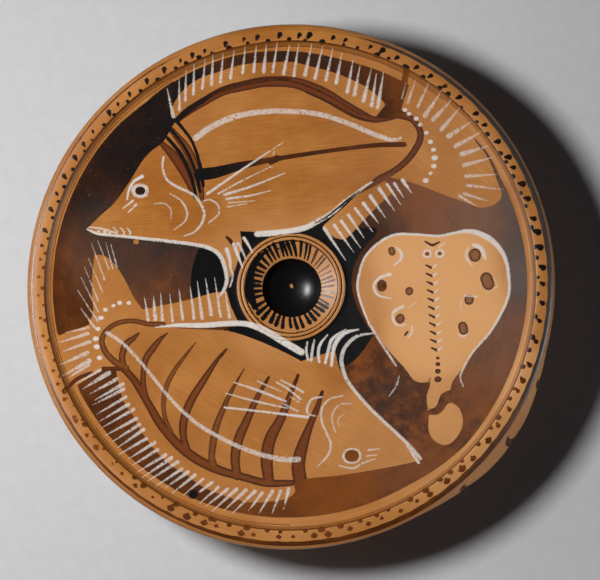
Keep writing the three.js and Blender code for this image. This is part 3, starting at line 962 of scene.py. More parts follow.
def to_segments(points, line, closed):
    """Each point's distance to each piece of the line, and how far along that piece it is nearest."""
    start = line[:, :2] if closed else line[:-1, :2]
    along = (np.roll(line, -1, 0)[:, :2] if closed else line[1:, :2]) - start
    offset = points[:, None] - start[None]
    share = (offset * along).sum(2) / np.maximum((along**2).sum(1), 1e-9)
    share = np.clip(share, 0, 1)
    return np.linalg.norm(offset - share[..., None] * along, axis=2), share


def depth_in_area(points, outline):
    """A point is inside if a line from it to the right crosses the outline an odd number of times."""
    distance = to_segments(points, outline, True)[0].min(1)
    x, y = points[:, 0, None], points[:, 1, None]
    x0, y0 = outline[:, 0], outline[:, 1]
    x1, y1 = np.roll(x0, -1), np.roll(y0, -1)
    spans = (y0 > y) != (y1 > y)
    rise = np.where(y1 == y0, 1e-9, y1 - y0)
    crossings = (spans & (x < x0 + (y - y0) * (x1 - x0) / rise)).sum(1)
    return np.where(crossings % 2 == 1, distance, -distance)


def depth_in_stroke(points, line):
    """Half the stroke's width at the nearest place, less the distance to its middle line."""
    distance, share = to_segments(points, line, False)
    width = line[:-1, 2] + share * np.diff(line[:, 2])
    return (0.5 * width - distance).max(1)


print("outlines and strokes to measure from:", len(areas) + len(strokes))

# %% Each paint's depth
# a figure's burnishing shows from this far outside its edge
GRAIN_MARGIN = 0.3
radius_of = np.linalg.norm(flat, axis=1)
turn_of = np.arctan2(flat[:, 1], flat[:, 0])
far_out = np.full(len(flat), -EDGE_REACH)
depth = {paint: far_out.copy() for paint in PAINTS}
load_of = {WASH: np.zeros(len(flat)), WHITE: np.zeros(len(flat))}
grain_of = np.full(len(flat), np.nan)

for paint, outline, grain in areas:
    chosen = near(flat, outline, EDGE_REACH)
    inside = depth_in_area(flat[chosen], outline)
    depth[paint][chosen] = np.maximum(depth[paint][chosen], inside)
    if grain is not None:
        grain_of[chosen[inside > -GRAIN_MARGIN]] = math.radians(grain)

for paint, load, line in strokes:
    chosen = near(flat, line, EDGE_REACH)
    inside = depth_in_stroke(flat[chosen], line)
    if paint in load_of:
        closer = inside > depth[paint][chosen]
        load_of[paint][chosen[closer]] = load
    depth[paint][chosen] = np.maximum(depth[paint][chosen], inside)
print({paint: f"{(amount > 0).mean():.0%}" for paint, amount in depth.items()}, "of the points")

# %% [markdown]
# The slip's own edge follows the wheel: the painter held a loaded brush still and turned the plate. Its
# radius wanders a little, and it stops short of the band. Inside it the figures and the collar are left
# out, and the cup is filled in again.

# %% The edge of the slip
# as (degrees, radius)
SLIP_EDGE = [
    (0, 116.6), (30, 116), (60, 115), (76, 114.7), (90, 116.4), (103, 117.8), (115, 117.2), (128, 116.2),
    (145, 117), (185, 116.9), (205, 116), (231, 115.4), (250, 115), (270, 114.5), (300, 114.7),
    (309, 116), (317, 117.1), (330, 116.5), (360, 116.6),
]


def round_rim(stops, degrees):
    """A value that changes round the plate, from stops of (degrees, value)."""
    return np.interp(degrees, *np.array(stops).T)


degrees_of = np.degrees(turn_of)
slip_limit = round_rim(SLIP_EDGE, degrees_of % 360)
print("slip ends between", round(float(slip_limit.min()), 1), "and", round(float(slip_limit.max()), 1), "mm")

# %% The ground of slip
SPOT_PLACE = (-0.9, 2.2)
SPOT_RADIUS = 1.1
slip = np.minimum(slip_limit - radius_of, -depth[RESERVE])
slip = np.minimum(slip, radius_of - COLLAR_RADIUS - 0.1)
cup_paint = np.minimum(cup_radius - radius_of, np.linalg.norm(flat - SPOT_PLACE, axis=1) - SPOT_RADIUS)
layers_of_slip = [slip, depth[DARK], depth[PUPIL], cup_paint]
# thin lines of slip at the collar: half their width, and their radius
for half_width, radius in (
    (0.22, COLLAR_RADIUS - RIDGE_WIDTH),
    (0.28, funnel_outer + 0.1),
    (0.5, COLLAR_RADIUS + 0.15),
):
    layers_of_slip.append(half_width - np.abs(radius_of - radius))
# slip that ran over the outer ridge, left of the top
OVERRUN_HALF_WIDTH = 0.9
OVERRUN_MIDDLE = 96
OVERRUN_DEGREES = 14
over_ridge = OVERRUN_HALF_WIDTH - np.abs(radius_of - COLLAR_RADIUS)
layers_of_slip.append(np.minimum(over_ridge, OVERRUN_DEGREES - np.abs(degrees_of - OVERRUN_MIDDLE)))
slip = np.clip(np.maximum.reduce(layers_of_slip), -EDGE_REACH, EDGE_REACH)
depth[WHITE] = np.minimum(depth[WHITE], -depth[PUPIL])
coat = np.maximum(np.minimum(depth[COAT], slip), cup_paint)
coat = np.maximum(coat, np.minimum(depth[DARK], COLLAR_RADIUS - radius_of))
print("slip covers", round(100 * float((slip > 0).mean())), "% of the points")

# %% [markdown]
# Slip fires black where it lies thick and brown or red where it is thin. A few broad patches say how
# thick it lies; between them the value eases from one to the next. Three more lists say in the same way
# where the bare clay is paler, partly its own tone and partly painted light, where the slip gets a painted
# grey sheen in place of the lamp's reflection, and where it is blotched.

# %% How thick the slip lies
# x, y, thickness from 0 to 1
THICKNESS = [
    (-74, 62, 0.85), (-62, 90, 0.88), (-98, 41, 0.65), (-1, 113, 0.62), (60, 92, 0.08), (-84, 18, 0.6),
    (-62, 14, 0.66), (-64, -1, 0.26), (-111, 14, 0.38), (-104, -4, 0.32), (-79, -80, 0.3), (-95, -58, 0.35),
    (-45, -101, 0.38), (-20, -109, 0.2), (29, -101, 0.08), (50, -96, 0.15), (70, -82, 0.15), (96, -58, 0.1),
    (113, 6, 0.6), (113, 36, 0.6), (96, 31, 0.08), (72, 36, 0.12), (56, 40, 0.15), (44, 34, 0.6),
    (42, -40, 0.26), (52, -58, 0.36), (-45, 52, 0.95), (0, 95, 0.55), (44, 90, 0.45), (111, -22, 0.2),
    (105, -41, 0.1),
]
# the same round the band, round the lip and in the lines turned beside the band
BAND_THICKNESS = [
    (0, 0.85), (100, 0.9), (160, 0.8), (180, 0.12), (212, 0.15), (230, 0.35), (260, 0.25), (335, 0.25),
    (352, 0.85), (360, 0.85),
]
LIP_THICKNESS = [
    (0, 0.9), (62, 0.9), (74, 0.35), (120, 0.35), (250, 0.3), (330, 0.35), (340, 0.85), (360, 0.9),
]
LINE_THICKNESS = 0.2
FOOT_THICKNESS = 0.7
print(len(THICKNESS), "patches of thickness")

# %% Pale clay with painted light, painted grey sheen and blotches
# how pale the clay is: x, y, paleness from 0 to 1; partly the clay's own tone, partly painted light:
# painted sheen on the ray and the right of the dish, and painted light on the skirt at the lower right
PALENESS_AND_PAINTED_LIGHT = [
    (80, 8, 0.95), (72, -25, 0.95), (95, -10, 1), (60, 10, 0.9), (76, -70, 0.6), (48, -80, 0.32),
    (35, -70, 0.25), (-15, -60, 0.1), (-60, -45, 0.1), (-20, -100, 0.15), (0, 75, 0), (-60, 45, 0),
    (30, 60, 0.06), (0, 50, 0), (85, 65, 0.2), (0, 23, 0.36), (0, -24, 0.4), (24, 0, 0.4), (-25, 0, 0.34),
    (-85, 0, 0.16), (-110, -35, 0.2), (-122, 10, 0.2), (93, -72, 0.3), (74, -92, 0.3), (107, -84, 1),
    (88, -103, 1), (123, -58, 0.8), (0, -122, 0.25), (0, 122, 0), (120, 0, 0.15), (-50, -10, 0.16),
    (10, -40, 0.05), (-30, -80, 0.1),
]
# painted sheen: a dull grey put into the slip where the lamp's reflection would show, on the dish and
# round the lip; on the dish as x, y, amount, mostly on its right
DISH_PAINTED_SHEEN = [
    (113, 6, 0.5), (110, 27, 0.3), (113, 38, 0.45), (96, 31, 0.36), (80, 33, 0.26), (62, 38, 0.14),
    (111, -22, 0.28), (105, -41, 0.22), (97, -61, 0.1), (48, -52, 0.08), (66, -85, 0.08), (30, 20, 0),
    (30, -30, 0), (-86, 18, 0.12), (-69, 14, 0.1), (98, 60, 0.2),
]
# painted sheen along the right of the lip's line, where the lamp's reflection would run: (degrees, amount)
LIP_PAINTED_SHEEN = [(0, 0.3), (60, 0.25), (90, 0), (300, 0), (330, 0.2), (360, 0.3)]
# how blotched the slip is: x, y, strength
MOTTLING = [
    (37, -49, 1.5), (50, -66, 1.5), (62, -66, 1.3), (86, -77, 0.9), (95, -45, 0.2), (75, -95, 0.2),
    (30, -100, 0.2), (45, -32, 0.6),
]
PATCH_SPREAD = 13
FAR_WEIGHT = 0.02


def patched(points, patches, elsewhere):
    """Eases from patch to patch, each given as x, y and a value, and to one value far from all of them."""
    total = np.full(len(points), FAR_WEIGHT * elsewhere)
    weights = np.full(len(points), FAR_WEIGHT)
    for x, y, value in patches:
        weight = np.exp(-((np.linalg.norm(points - (x, y), axis=1) / PATCH_SPREAD) ** 2))
        total += weight * value
        weights += weight
    return total / weights


print(len(PALENESS_AND_PAINTED_LIGHT), "patches of paleness,", len(DISH_PAINTED_SHEEN), "of grey and", len(MOTTLING), "of blotches")

# %% [markdown]
# ## Lip, skirt, underside and foot
# The rest of the plate is a plain lathe form, one ring of points after another. The skirt sagged a little
# outward on one side before the clay dried, so it is pulled out there by the same rule as in the frame.
# On the skirt runs a row of dark waves, on the lip a line of slip.

# %% The turned part below the band
turns = np.arange(RIM_STEPS) * 2 * math.pi / RIM_STEPS
below_radius = np.repeat(below[1:-1, 0], RIM_STEPS)
below_height = np.repeat(below[1:-1, 1], RIM_STEPS)
below_turn = np.tile(turns, len(below) - 2)


def flare(x, y, z):
    """The skirt stands out over one stretch of the rim."""
    radius = np.hypot(x, y)
    down = np.clip((lip_z - z) / SKIRT_HEIGHT, 0, 1)
    t = np.clip((radius - skirt_inner + FLARE_FADE) / FLARE_FADE, 0, 1)
    out = t * t * (3 - 2 * t)
    turn = np.arctan2(y, x) - FLARE_AZIMUTH
    beside = np.exp(-((np.arctan2(np.sin(turn), np.cos(turn)) / FLARE_SPREAD) ** 2))
    grow = 1 + FLARE_REACH * down * out * beside / np.maximum(radius, 1)
    return x * grow, y * grow


print(len(below_turn), "points below the band")

# %% Waves on the skirt
WAVES = 26
WAVE_PITCH = 2 * math.pi * PLATE_RADIUS / WAVES
degrees_below = np.degrees(below_turn) % 360
# which stretch of the section each ring is on, told from its place along the section
ring_number = np.repeat(np.arange(1, len(below) - 1), RIM_STEPS)
LIP_RINGS = 9
EDGE_RINGS = 24
FOOT_START = 42
FOOT_END = 58
on_lip = ring_number <= LIP_RINGS
on_skirt = (ring_number > LIP_RINGS) & (ring_number <= EDGE_RINGS)
wave_x = (below_turn * PLATE_RADIUS) % WAVE_PITCH - 0.5 * WAVE_PITCH
wave_y = below_height - skirt_bottom_z
# a wave is a disc with a second one bitten out of its upper side, on a foot line that rises to it
CREST_RADIUS, CREST_UP = 5.4, 5.2
BITE_RADIUS, BITE_ASIDE, BITE_UP = 4.6, 2.8, 7
FOOT_LINE, FOOT_LINE_RISE = 1.3, 0.9
crest = CREST_RADIUS - np.hypot(wave_x, wave_y - CREST_UP)
bite = np.hypot(wave_x - BITE_ASIDE, wave_y - BITE_UP) - BITE_RADIUS
foot_of_wave = FOOT_LINE + FOOT_LINE_RISE * np.cos(2 * math.pi * wave_x / WAVE_PITCH) - wave_y
waves = np.maximum(np.minimum(crest, bite), foot_of_wave)
print("waves:", WAVES, "of", round(WAVE_PITCH, 1), "mm")

# %% The line on the lip and the paint on the underside
# where the lip's line runs, as (degrees, its radius, its breadth)
LIP_LINE = [
    (0, 127.2, 3), (30, 127.2, 3), (45, 127.2, 2.6), (68, 127, 1.8), (76, 126.4, 0.7), (115, 126.4, 0.7),
    (122, 126.9, 0.9), (160, 127, 0.9), (200, 127, 1.4), (245, 127, 1.8), (262, 127, 3),
    (300, 127.2, 3.4), (330, 127.2, 3.4), (340, 127.2, 3.2), (360, 127.2, 3),
]
line_degrees, line_radius, line_breadth = np.array(LIP_LINE).T
from_line = np.abs(below_radius - np.interp(degrees_below, line_degrees, line_radius))
lip_line = 0.5 * np.interp(degrees_below, line_degrees, line_breadth) - from_line
foot_slip = np.where((ring_number >= FOOT_START) & (ring_number <= FOOT_END), 1.0, -1.0)
# one thin circle turned on the bare underside, and the rings of the corner it keeps off
CIRCLE_RADIUS, CIRCLE_HALF_WIDTH = 96, 0.6
CORNER_RINGS = 5
on_under = (ring_number > EDGE_RINGS + CORNER_RINGS) & (ring_number < FOOT_START)
under_circle = np.where(on_under, CIRCLE_HALF_WIDTH - np.abs(below_radius - CIRCLE_RADIUS), -1.0)
below_slip = np.select([on_lip, on_skirt], [lip_line, waves], np.maximum(foot_slip, under_circle))
print("slip covers", round(100 * float((below_slip > 0).mean())), "% of the points below the band")

# %% [markdown]
# ## One mesh for the whole plate
# The two parts share the ring of points at the band's outer edge, so the plate stays one closed body.
# Its shading normals are taken from the section, which keeps highlights on the curved clay clean however
# irregular the faces of the painted side are.

# %% Join the two parts
below_x = below_radius * np.cos(below_turn)
below_y = below_radius * np.sin(below_turn)
below_x, below_y = flare(below_x, below_y, below_height)
upper_height = np.interp(radius_of, above[:, 0], above[:, 1])
upper_points = np.column_stack([flat, upper_height])
below_points = np.column_stack([below_x, below_y, below_height])
last_point = np.array([[0, 0, below[-1, 1]]])
points = np.vstack([upper_points, below_points, last_point])

first_ring = np.array([rim_index[i] for i in range(RIM_STEPS)])
rings = np.arange(len(below_points)).reshape(-1, RIM_STEPS) + len(flat)
rings = np.vstack([first_ring, rings])
nexts = np.roll(rings, -1, axis=1)
quads = np.stack([rings[1:], nexts[1:], nexts[:-1], rings[:-1]], axis=-1).reshape(-1, 4)
tip = len(points) - 1
caps = np.column_stack([nexts[-1], rings[-1], np.full(RIM_STEPS, tip)])
faces = triangles.tolist() + quads.tolist() + caps.tolist()

plate_mesh = bpy.data.meshes.new("painted_plate")
plate_mesh.from_pydata((points / 1000).tolist(), [], faces)
plate_mesh.validate()
plate = bpy.data.objects.new("painted_plate", plate_mesh)
bpy.context.scene.collection.objects.link(plate)
triangle_count = sum(len(polygon.vertices) - 2 for polygon in plate_mesh.polygons)
print(len(points), "points,", triangle_count, "triangles")


# %% Shading normals from the section
def section_normals(section):
    """Normals of the section's points, to the left of the walk along it."""
    ahead = np.gradient(section, axis=0)
    normals = np.column_stack([-ahead[:, 1], ahead[:, 0]])
    return normals / np.linalg.norm(normals, axis=1)[:, None]


above_normals = section_normals(above)
upper_r = np.interp(radius_of, above[:, 0], above_normals[:, 0])
upper_z = np.interp(radius_of, above[:, 0], above_normals[:, 1])
upper_normals = np.column_stack([upper_r * np.cos(turn_of), upper_r * np.sin(turn_of), upper_z])
below_normals = np.repeat(section_normals(below)[1:-1], RIM_STEPS, axis=0)
lower_normals = np.column_stack(
    [below_normals[:, 0] * np.cos(below_turn), below_normals[:, 0] * np.sin(below_turn), below_normals[:, 1]]
)
normals = np.vstack([upper_normals, lower_normals, [[0, 0, -1]]])
normals /= np.linalg.norm(normals, axis=1)[:, None]
plate_mesh.polygons.foreach_set("use_smooth", [True] * len(plate_mesh.polygons))
plate_mesh.normals_split_custom_set_from_vertices(normals.tolist())
print(len(normals), "shading normals")

# %% [markdown]
# The burnished clay shows fine straight streaks along each figure, and round streaks elsewhere from the
# wheel. Each point gets two coordinates, across and along the streaks, that the noise in the clay follows.

# %% Across and along the streaks
# the wheel's streaks follow a circle of this radius in the noise
WHEEL_STREAKS = 40
turned = np.isnan(grain_of)
rubbed_across = flat[:, 1] * np.cos(grain_of) - flat[:, 0] * np.sin(grain_of)
rubbed_along = flat[:, 0] * np.cos(grain_of) + flat[:, 1] * np.sin(grain_of)
across = np.where(turned, radius_of, rubbed_across)
along = np.where(turned, WHEEL_STREAKS * np.cos(turn_of), rubbed_along)
beside = np.where(turned, WHEEL_STREAKS * np.sin(turn_of), 0)
below_count = len(below_points) + 1
stored = []


def store(name, upper, lower):
    """Keeps one number a point on the mesh, for the material to read."""
    attribute = plate_mesh.attributes.new(name, "FLOAT", "POINT")
    attribute.data.foreach_set("value", np.concatenate([upper, lower]).astype(np.float32))
    stored.append(name)


store("across", across, np.append(below_radius + below_height, 0))
store("along", along, np.append(WHEEL_STREAKS * np.cos(below_turn), 0))
store("beside", beside, np.append(WHEEL_STREAKS * np.sin(below_turn), 0))
print(f"{turned.mean():.0%} of the points have streaks from the wheel")

# %% Depths and loads of the paints
outside = np.full(below_count, -EDGE_REACH)
store("slip", slip, np.append(below_slip, -1.0))
store("coat", np.clip(coat, -EDGE_REACH, EDGE_REACH), outside)
store("wash", depth[WASH], outside)
store("wash_load", load_of[WASH], np.zeros(below_count))
store("white", depth[WHITE], outside)
store("white_load", load_of[WHITE], np.zeros(below_count))
print("numbers on the mesh so far:", len(stored))

# %% Thickness of the slip
LINE_ZONE = 3
on_band = radius_of > band_inner + 0.1
near_line = (radius_of > band_inner - LINE_ZONE) & ~on_band
above_thickness = np.where(near_line, LINE_THICKNESS, patched(flat, THICKNESS, 0.4))
above_thickness = np.where(on_band, round_rim(BAND_THICKNESS, degrees_of % 360), above_thickness)
# a wave is thin in its middle and thick along its edge
WAVE_EDGE = 0.7
skirt_thickness = np.where(waves > WAVE_EDGE, 0.35, 0.75)
below_thickness = np.where(on_skirt, skirt_thickness, FOOT_THICKNESS)
below_thickness = np.where(on_lip, round_rim(LIP_THICKNESS, degrees_below), below_thickness)
store("thickness", above_thickness, np.append(below_thickness, 0.5))
print("mean thickness on the dish:", round(float(above_thickness.mean()), 2))

# %% Paleness with painted light, painted sheen and blotches
# the lip and the skirt are as pale as the rim beside them; on the skirt at the lower right this is painted
# light
RIM_PLACE = 122
UNDER_PALENESS = 0.2
edge_places = RIM_PLACE * np.column_stack([np.cos(below_turn), np.sin(below_turn)])
below_pale_and_lit = np.where(on_lip | on_skirt, patched(edge_places, PALENESS_AND_PAINTED_LIGHT, 0.15), UNDER_PALENESS)
store("pale_clay_and_painted_light", patched(flat, PALENESS_AND_PAINTED_LIGHT, 0.12), np.append(below_pale_and_lit, UNDER_PALENESS))
# painted sheen on the lip and on the dish, none on the band: grey that stands in for the lamp's reflection
lip_painted_grey = np.where(on_lip, round_rim(LIP_PAINTED_SHEEN, degrees_below), 0)
store("painted_grey_sheen", np.where(on_band, 0, patched(flat, DISH_PAINTED_SHEEN, 0)), np.append(lip_painted_grey, 0))
store("mottling", np.where(on_band | near_line, 0, patched(flat, MOTTLING, 0)), np.zeros(below_count))
print("numbers on the mesh:", stored)

# %% [markdown]
# ## Terracotta, slip and white
# The clay is an iron-rich earthenware fired orange and rubbed smooth with a pebble, so it has a soft
# sheen with fine streaks. The slip is the finest part of the same clay; fired without air it turned to a
# glassy black skin, brown where it is thin. The white is a chalky clay paint that has begun to flake.
# One node material holds all of them, because they meet inside the same faces.


# %% Colours and nodes
def linear(hex_colour):
    """An sRGB hex colour as linear red, green, blue and alpha."""
    channels = [int(hex_colour[i : i + 2], 16) / 255 for i in (1, 3, 5)]
    return (*[c / 12.92 if c <= 0.04045 else ((c + 0.055) / 1.055) ** 2.4 for c in channels], 1)


def add(tree, kind, inputs=None, **settings):
    """Adds a node, sets it up and links or fills its inputs."""
    made = tree.nodes.new(kind)
    for name, value in settings.items():
        setattr(made, name, value)
    for key, value in (inputs or {}).items():
        if isinstance(value, bpy.types.NodeSocket):
            tree.links.new(value, made.inputs[key])
        else:
            made.inputs[key].default_value = value
    return made


CLAY_DARK = "#925418"
CLAY = "#A46425"
CLAY_LIGHT = "#B97A38"
# pale clay, also standing for painted light and painted sheen on the clay
CLAY_PALE_AND_LIT = "#DEA369"
SLIP_THIN = "#7C4318"
SLIP_BROWN = "#50290F"
SLIP_DARK = "#281812"
SLIP_BLACK = "#121112"
# the grey of the painted sheen on the slip
PAINTED_SHEEN_GREY = "#7D726C"
WASH_BROWN = "#672F0B"
WASH_DEEP = "#30150A"
WHITE_CLAY = "#D9D0C7"
print("bare clay in linear light:", [round(channel, 3) for channel in linear(CLAY)])

# %% Material: burnished terracotta with slip painting
terracotta = bpy.data.materials.new("burnished_terracotta_with_slip")
terracotta.use_nodes = True
tree = terracotta.node_tree
tree.nodes.clear()
told = {name: add(tree, "ShaderNodeAttribute", attribute_name=name).outputs["Fac"] for name in stored}
print("numbers the material reads:", len(told))

# %% Noises and streaks
# places in millimetres
place = add(tree, "ShaderNodeTexCoord").outputs["Object"]
place = add(tree, "ShaderNodeVectorMath", {0: place, 1: (1000, 1000, 1000)}, operation="MULTIPLY").outputs[0]
# name, size of its grain in millimetres, detail
NOISES = [
    ("cloud", 28, 3),
    ("fray", 1.2, 2),
    ("wear", 1.7, 2),
    ("speck", 1.1, 1),
    ("uneven", 9, 2),
    ("blotch", 6, 5),
]
noises = {}
for name, size, detail in NOISES:
    inputs = {"Vector": place, "Scale": 1 / size, "Detail": detail, "Roughness": 0.6}
    noises[name] = add(tree, "ShaderNodeTexNoise", inputs).outputs["Fac"]
# the streaks have one size across and another one along
STREAK_MM = {"across": 0.7, "along": 16, "beside": 16}
streak_place = []
for name, size in STREAK_MM.items():
    inputs = {0: told[name], 1: size}
    streak_place.append(add(tree, "ShaderNodeMath", inputs, operation="DIVIDE").outputs[0])
streak_place = add(tree, "ShaderNodeCombineXYZ", dict(enumerate(streak_place))).outputs[0]
inputs = {"Vector": streak_place, "Scale": 1, "Detail": 4, "Roughness": 0.7}
streaks = add(tree, "ShaderNodeTexNoise", inputs).outputs["Fac"]
print(len(noises), "noises and one of streaks")

# %% Where each paint lies
# name, how far the edge frays in mm, how soft it is in mm
PAINT_EDGES = [("slip", 0.3, 0.12), ("coat", 0.4, 0.16), ("wash", 0.3, 0.16), ("white", 0.3, 0.14)]
lies = {}
for name, fray, soft in PAINT_EDGES:
    push = add(tree, "ShaderNodeMath", {0: noises["fray"], 1: 0.5}, operation="SUBTRACT").outputs[0]
    inputs = {0: push, 1: fray, 2: told[name]}
    moved = add(tree, "ShaderNodeMath", inputs, operation="MULTIPLY_ADD").outputs[0]
    inputs = {"Value": moved, "From Min": -soft, "From Max": soft}
    lies[name] = add(tree, "ShaderNodeMapRange", inputs, interpolation_type="SMOOTHSTEP").outputs[0]
print("paints laid:", list(lies))

# %% The brown wash
# it pools along the edges of a stroke and thins out in streaks between them
inputs = {"Value": told["wash"], "From Min": 0.1, "From Max": 1.5, "To Min": 1.0, "To Max": 0.0}
pooled = add(tree, "ShaderNodeMapRange", inputs, interpolation_type="SMOOTHSTEP").outputs[0]
thinned = add(tree, "ShaderNodeMath", {0: streaks, 1: -0.5, 2: 1.25}, operation="MULTIPLY_ADD").outputs[0]
thinned = add(tree, "ShaderNodeMath", {0: pooled, 1: 0.25, 2: thinned}, operation="MULTIPLY_ADD").outputs[0]
cover = add(tree, "ShaderNodeMath", {0: told["wash_load"], 1: thinned}, operation="MULTIPLY").outputs[0]
inputs = {0: cover, 1: lies["wash"]}
wash = add(tree, "ShaderNodeMath", inputs, operation="MULTIPLY", use_clamp=True).outputs[0]
print("nodes so far:", len(tree.nodes))

# %% The added white
# it is thin where the brush left the clay, uneven, and flaked off where the noise of the specks is high
FLAKE_START, FLAKE_FULL = 0.62, 0.68
lifted = add(tree, "ShaderNodeMapRange", {"Value": told["white"], "From Max": 0.6, "To Min": 0.6}).outputs[0]
cover = add(tree, "ShaderNodeMath", {0: lifted, 1: told["white_load"]}, operation="MULTIPLY").outputs[0]
thin = add(tree, "ShaderNodeMath", {0: 1.25, 1: cover}, operation="SUBTRACT").outputs[0]
inputs = {0: noises["wear"], 1: -1.2, 2: 0.6}
uneven = add(tree, "ShaderNodeMath", inputs, operation="MULTIPLY_ADD").outputs[0]
cover = add(tree, "ShaderNodeMath", {0: uneven, 1: thin, 2: cover}, operation="MULTIPLY_ADD").outputs[0]
inputs = {"Value": noises["speck"], "From Min": FLAKE_START, "From Max": FLAKE_FULL}
flaked = add(tree, "ShaderNodeMapRange", inputs).outputs[0]
flaked = add(tree, "ShaderNodeMath", {0: flaked, 1: thin}, operation="MULTIPLY").outputs[0]
cover = add(tree, "ShaderNodeMath", {0: cover, 1: flaked}, operation="SUBTRACT", use_clamp=True).outputs[0]
white = add(tree, "ShaderNodeMath", {0: cover, 1: lies["white"]}, operation="MULTIPLY").outputs[0]
print("nodes so far:", len(tree.nodes))

# %% Colour of the bare clay
shade = add(tree, "ShaderNodeMath", {0: streaks, 1: 0.45, 2: 0.05}, operation="MULTIPLY_ADD").outputs[0]
inputs = {0: noises["cloud"], 1: 0.5, 2: shade}
shade = add(tree, "ShaderNodeMath", inputs, operation="MULTIPLY_ADD").outputs[0]
clay = add(tree, "ShaderNodeValToRGB", {0: shade})
clay.color_ramp.elements[0].position = 0.36
clay.color_ramp.elements[0].color = linear(CLAY_DARK)
clay.color_ramp.elements[1].position = 0.68
clay.color_ramp.elements[1].color = linear(CLAY_LIGHT)
clay.color_ramp.elements.new(0.52).color = linear(CLAY)
# the pale clay mixed in here is partly the clay's own tone and partly painted light
# a mix node takes its factor at 0, its two colours at 6 and 7, and gives the mixed colour at 2
inputs = {0: told["pale_clay_and_painted_light"], 6: clay.outputs[0], 7: linear(CLAY_PALE_AND_LIT)}
clay = add(tree, "ShaderNodeMix", inputs, data_type="RGBA").outputs[2]
print("nodes so far:", len(tree.nodes))

# %% Colour of the slip, by how thick it lies
# half the sum of the noises' shares is taken off again, so that the mean stays
NOISE_SHARES = ((streaks, 0.3), (noises["cloud"], 0.5), (noises["uneven"], 0.35))
MEAN_OF_NOISES = 0.575
MEAN_OF_BLOTCHES = 0.47
depth_of_slip = told["thickness"]
for noise, share in NOISE_SHARES:
    inputs = {0: noise, 1: share, 2: depth_of_slip}
    depth_of_slip = add(tree, "ShaderNodeMath", inputs, operation="MULTIPLY_ADD").outputs[0]
inputs = {0: depth_of_slip, 1: MEAN_OF_NOISES}
depth_of_slip = add(tree, "ShaderNodeMath", inputs, operation="SUBTRACT").outputs[0]
inputs = {0: noises["blotch"], 1: MEAN_OF_BLOTCHES}
blotch = add(tree, "ShaderNodeMath", inputs, operation="SUBTRACT").outputs[0]
inputs = {0: blotch, 1: told["mottling"], 2: depth_of_slip}
depth_of_slip = add(tree, "ShaderNodeMath", inputs, operation="MULTIPLY_ADD").outputs[0]
slip_colour = add(tree, "ShaderNodeValToRGB", {0: depth_of_slip})
slip_colour.color_ramp.elements[0].position = 0.08
slip_colour.color_ramp.elements[0].color = linear(SLIP_THIN)
slip_colour.color_ramp.elements[1].position = 0.95
slip_colour.color_ramp.elements[1].color = linear(SLIP_BLACK)
slip_colour.color_ramp.elements.new(0.38).color = linear(SLIP_BROWN)
slip_colour.color_ramp.elements.new(0.7).color = linear(SLIP_DARK)
# painted sheen: grey mixed into the slip where the lamp's reflection would show
inputs = {0: told["painted_grey_sheen"], 6: slip_colour.outputs[0], 7: linear(PAINTED_SHEEN_GREY)}
slip_colour = add(tree, "ShaderNodeMix", inputs, data_type="RGBA").outputs[2]
print("nodes so far:", len(tree.nodes))

# %% Pinholes in the slip, and one paint over the other
PINHOLE_START, PINHOLE_FULL = 0.73, 0.78
inputs = {"Value": noises["speck"], "From Min": PINHOLE_START, "From Max": PINHOLE_FULL}
pinhole = add(tree, "ShaderNodeMapRange", inputs).outputs[0]
pinhole = add(tree, "ShaderNodeMath", {0: pinhole, 1: 0.4}, operation="MULTIPLY").outputs[0]
inputs = {0: pinhole, 6: slip_colour, 7: clay}
specked = add(tree, "ShaderNodeMix", inputs, data_type="RGBA").outputs[2]
deep = add(tree, "ShaderNodeMath", {0: pooled, 1: 0.7}, operation="MULTIPLY").outputs[0]
inputs = {0: deep, 6: linear(WASH_BROWN), 7: linear(WASH_DEEP)}
wash_colour = add(tree, "ShaderNodeMix", inputs, data_type="RGBA").outputs[2]
layers = [
    (wash, wash_colour),
    (lies["slip"], specked),
    (lies["coat"], linear(SLIP_BLACK)),
    (white, linear(WHITE_CLAY)),
]
colour = clay
for amount, paint_colour in layers:
    inputs = {0: amount, 6: colour, 7: paint_colour}
    colour = add(tree, "ShaderNodeMix", inputs, data_type="RGBA", clamp_factor=True).outputs[2]
print(len(layers), "paints over the clay")

# %% Gloss, relief and the finished shader
CLAY_ROUGH, SLIP_ROUGH, WHITE_ROUGH = 0.38, 0.26, 0.7
inputs = {"Value": lies["slip"], "To Min": CLAY_ROUGH, "To Max": SLIP_ROUGH}
gloss = add(tree, "ShaderNodeMapRange", inputs).outputs[0]
inputs = {0: noises["wear"], 1: 0.12, 2: gloss}
gloss = add(tree, "ShaderNodeMath", inputs, operation="MULTIPLY_ADD").outputs[0]
# a mix node of plain numbers takes them at 2 and 3 and gives the mixed one at 0
inputs = {0: white, 2: gloss, 3: WHITE_ROUGH}
gloss = add(tree, "ShaderNodeMix", inputs, data_type="FLOAT").outputs[0]

# heights in millimetres
STREAK_HIGH, SLIP_HIGH, WHITE_HIGH, UNEVEN_HIGH = 0.012, 0.012, 0.06, 0.08
height = add(tree, "ShaderNodeMath", {0: streaks, 1: STREAK_HIGH}, operation="MULTIPLY").outputs[0]
for amount, high in ((lies["slip"], SLIP_HIGH), (white, WHITE_HIGH), (noises["uneven"], UNEVEN_HIGH)):
    inputs = {0: amount, 1: high, 2: height}
    height = add(tree, "ShaderNodeMath", inputs, operation="MULTIPLY_ADD").outputs[0]
relief = add(tree, "ShaderNodeBump", {"Height": height, "Distance": 0.001, "Strength": 1})
inputs = {"Base Color": colour, "Roughness": gloss, "Normal": relief.outputs[0], "Specular IOR Level": 0.3}
surface = add(tree, "ShaderNodeBsdfPrincipled", inputs)
add(tree, "ShaderNodeOutputMaterial", {"Surface": surface.outputs[0]})
plate_mesh.materials.append(terracotta)
print("material nodes:", len(tree.nodes))

